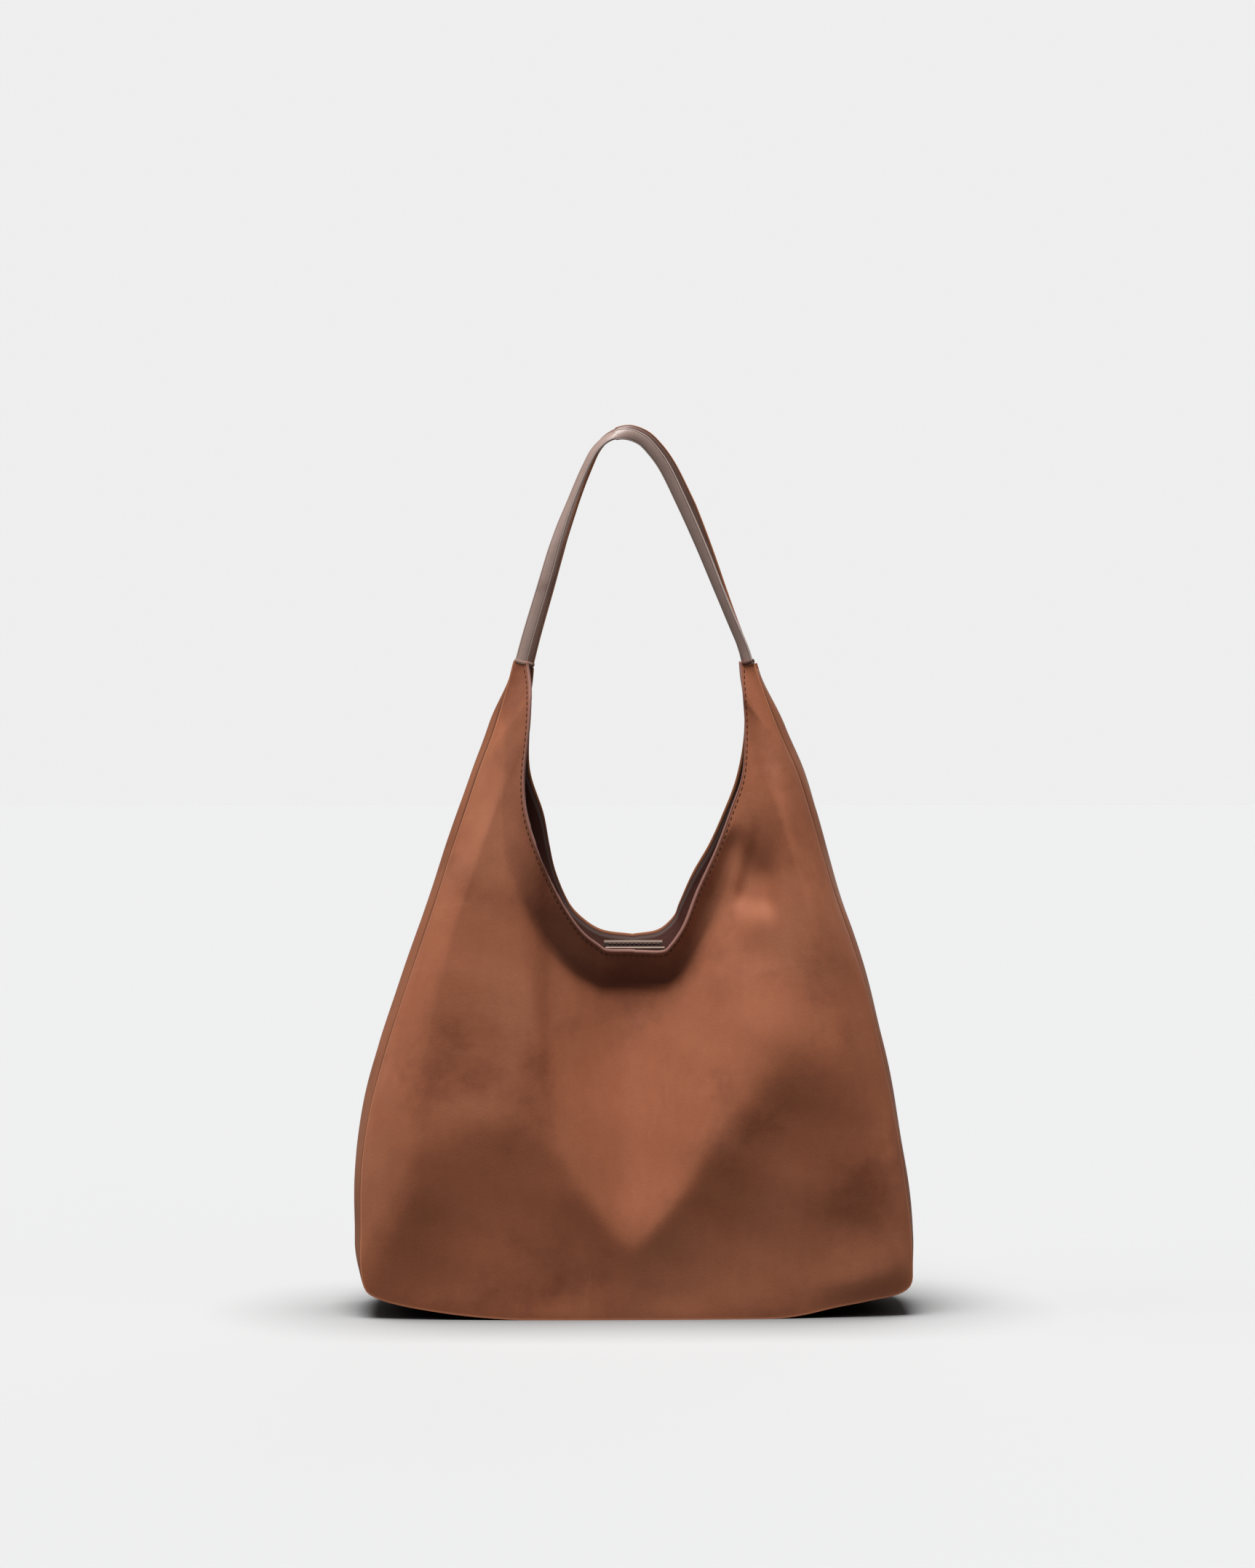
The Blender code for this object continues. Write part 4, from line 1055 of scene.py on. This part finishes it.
def turned(name, radius, base_height, steps, face, body, node_name):
    """A round metal piece on a tab: a disc, then (inset, rise) steps on its top, with its edges rounded."""
    top, down, inward, height = tab_frame(face)
    seat = top + down * (height - 0.014) + inward * (TAB_LEATHER + 0.0003)
    bpy.ops.object.select_all(action="DESELECT")
    turn = Vector(inward).to_track_quat("Z", "X").to_euler()
    spot = seat + inward * base_height / 2
    bpy.ops.mesh.primitive_cylinder_add(vertices=48, radius=radius, depth=base_height, location=spot, rotation=turn)
    piece = bpy.context.object
    piece.name = name
    bpy.ops.object.mode_set(mode="EDIT")
    bpy.ops.mesh.select_mode(type="FACE")
    bpy.ops.mesh.select_all(action="DESELECT")
    bm = bmesh.from_edit_mesh(piece.data)
    highest = max(bm.faces, key=lambda f: f.calc_center_median().z)
    highest.select_set(True)
    bmesh.update_edit_mesh(piece.data)
    for thickness, rise in steps:
        if thickness:
            bpy.ops.mesh.inset(thickness=thickness, depth=0.0)
        if rise:
            bpy.ops.mesh.extrude_region_shrink_fatten(TRANSFORM_OT_shrink_fatten={"value": rise})
    bpy.ops.object.mode_set(mode="OBJECT")
    bpy.ops.object.transform_apply(location=True, rotation=True, scale=True)
    soften = piece.modifiers.new("soft_edges", "BEVEL")
    soften.width = 0.00016
    soften.segments = 2
    soften.limit_method = "ANGLE"
    soften.angle_limit = math.radians(35)
    apply_modifier(piece, soften)
    piece.data.shade_smooth()
    piece.data.set_sharp_from_angle(angle=math.radians(45))
    piece.data.materials.clear()
    return finish(piece, body, "snap_metal", BRASS_FINISH, replaces=(node_name,))


make_tab(FRONT, "front_closure_tab", "front_tab", "front_tab")
make_tab(BACK, "back_closure_tab", "back_tab", "back_tab")
turned("snap_socket", 0.0070, 0.0012, [(0.0012, 0.0), (0.0003, 0.0016), (0.0016, 0.0), (0.0002, -0.0004), (0.0008, 0.0), (0.0, -0.0016)],
       FRONT, "front_tab", "front_snap_socket")
turned("snap_stud", 0.0070, 0.0010, [(0.0014, 0.0005), (0.0034, 0.0), (0.0002, 0.0012), (0.0006, 0.0005)],
       BACK, "back_tab", "back_snap_stud")



# ------------------------------------------------------------------ floor, light and camera


AMBIENT = 0.075


def seen_directly(tree, seen, otherwise):
    """A shader that is one thing to the camera and another to the light bouncing about."""
    path = tree.nodes.new("ShaderNodeLightPath")
    both = node(tree, "ShaderNodeMixShader", {0: path.outputs["Is Camera Ray"]})
    tree.links.new(otherwise.outputs[0], both.inputs[1])
    tree.links.new(seen.outputs[0], both.inputs[2])
    return both


def make_stage():
    """A pale floor as far as the eye goes, which gives little light back to the bag, as a small sheet of paper would;
    near the bag its colour is darkened by ambient occlusion, a painted contact shadow.
    """
    floor = mesh_piece("studio_floor", [(-60, -60, 0), (60, -60, 0), (60, 60, 0), (-60, 60, 0)], [(0, 1, 2, 3)], smooth=False)
    paper = bpy.data.materials.new("studio_paper")
    paper.use_nodes = True
    tree = paper.node_tree
    tree.nodes.remove(tree.nodes["Principled BSDF"])
    seen = node(tree, "ShaderNodeBsdfDiffuse", {})
    # painted contact shadow: ambient occlusion darkens the floor's colour within 11 cm of the bag
    painted_contact_shadow = node(tree, "ShaderNodeAmbientOcclusion", {"Color": (0.586, 0.588, 0.590, 1), "Distance": 0.11})
    tree.links.new(painted_contact_shadow.outputs["Color"], seen.inputs["Color"])
    dull = node(tree, "ShaderNodeBsdfDiffuse", {"Color": (0.16, 0.155, 0.15, 1)})
    tree.links.new(seen_directly(tree, seen, dull).outputs[0], tree.nodes["Material Output"].inputs["Surface"])
    floor.data.materials.append(paper)


def make_sky():
    world = bpy.data.worlds.new("studio")
    world.use_nodes = True
    tree = world.node_tree
    tree.nodes.remove(tree.nodes["Background"])
    seen = node(tree, "ShaderNodeBackground", {"Color": (1, 1, 1, 1), "Strength": 0.858})
    soft = node(tree, "ShaderNodeBackground", {"Color": (1.0, 0.98, 0.96, 1), "Strength": AMBIENT})
    tree.links.new(seen_directly(tree, seen, soft).outputs[0], tree.nodes["World Output"].inputs["Surface"])
    bpy.context.scene.world = world


def softbox(name, towards, strength, spread):
    """A far, broad softbox: even light from one side of the studio."""
    light = bpy.data.lights.new(name, "SUN")
    light.energy = strength
    light.angle = math.radians(spread)
    holder = bpy.data.objects.new(name, light)
    holder.location = Vector(towards) * 3
    holder.rotation_euler = Vector(towards).to_track_quat("Z", "Y").to_euler()
    bpy.context.scene.collection.objects.link(holder)


def make_camera():
    camera = bpy.data.cameras.new("camera")
    holder = bpy.data.objects.new("camera", camera)
    bpy.context.scene.collection.objects.link(holder)
    turn = math.radians(2.0)
    holder.location = (-0.0045 - 2.5 * math.sin(turn), -2.5 * math.cos(turn), 0.358)
    holder.rotation_euler = (math.pi / 2, 0, -turn)
    camera.sensor_fit = "VERTICAL"
    camera.sensor_height = 36.0
    camera.lens = 36.0 * 2.5 / 1.0715
    bpy.context.scene.camera = holder


make_stage()
make_sky()
softbox("overhead_softbox", (-0.12, -0.232, 1.0), 4.25, 36)
softbox("right_fill", (0.9, -0.7, 0.35), 0.20, 60)
softbox("back_fill", (0.25, 1.0, 0.09), 0.65, 50)
softbox("left_fill", (-1.0, -0.12, 0.30), 0.50, 50)
bpy.context.scene.view_settings.view_transform = "Standard"
bpy.context.scene.view_settings.look = "None"
make_camera()
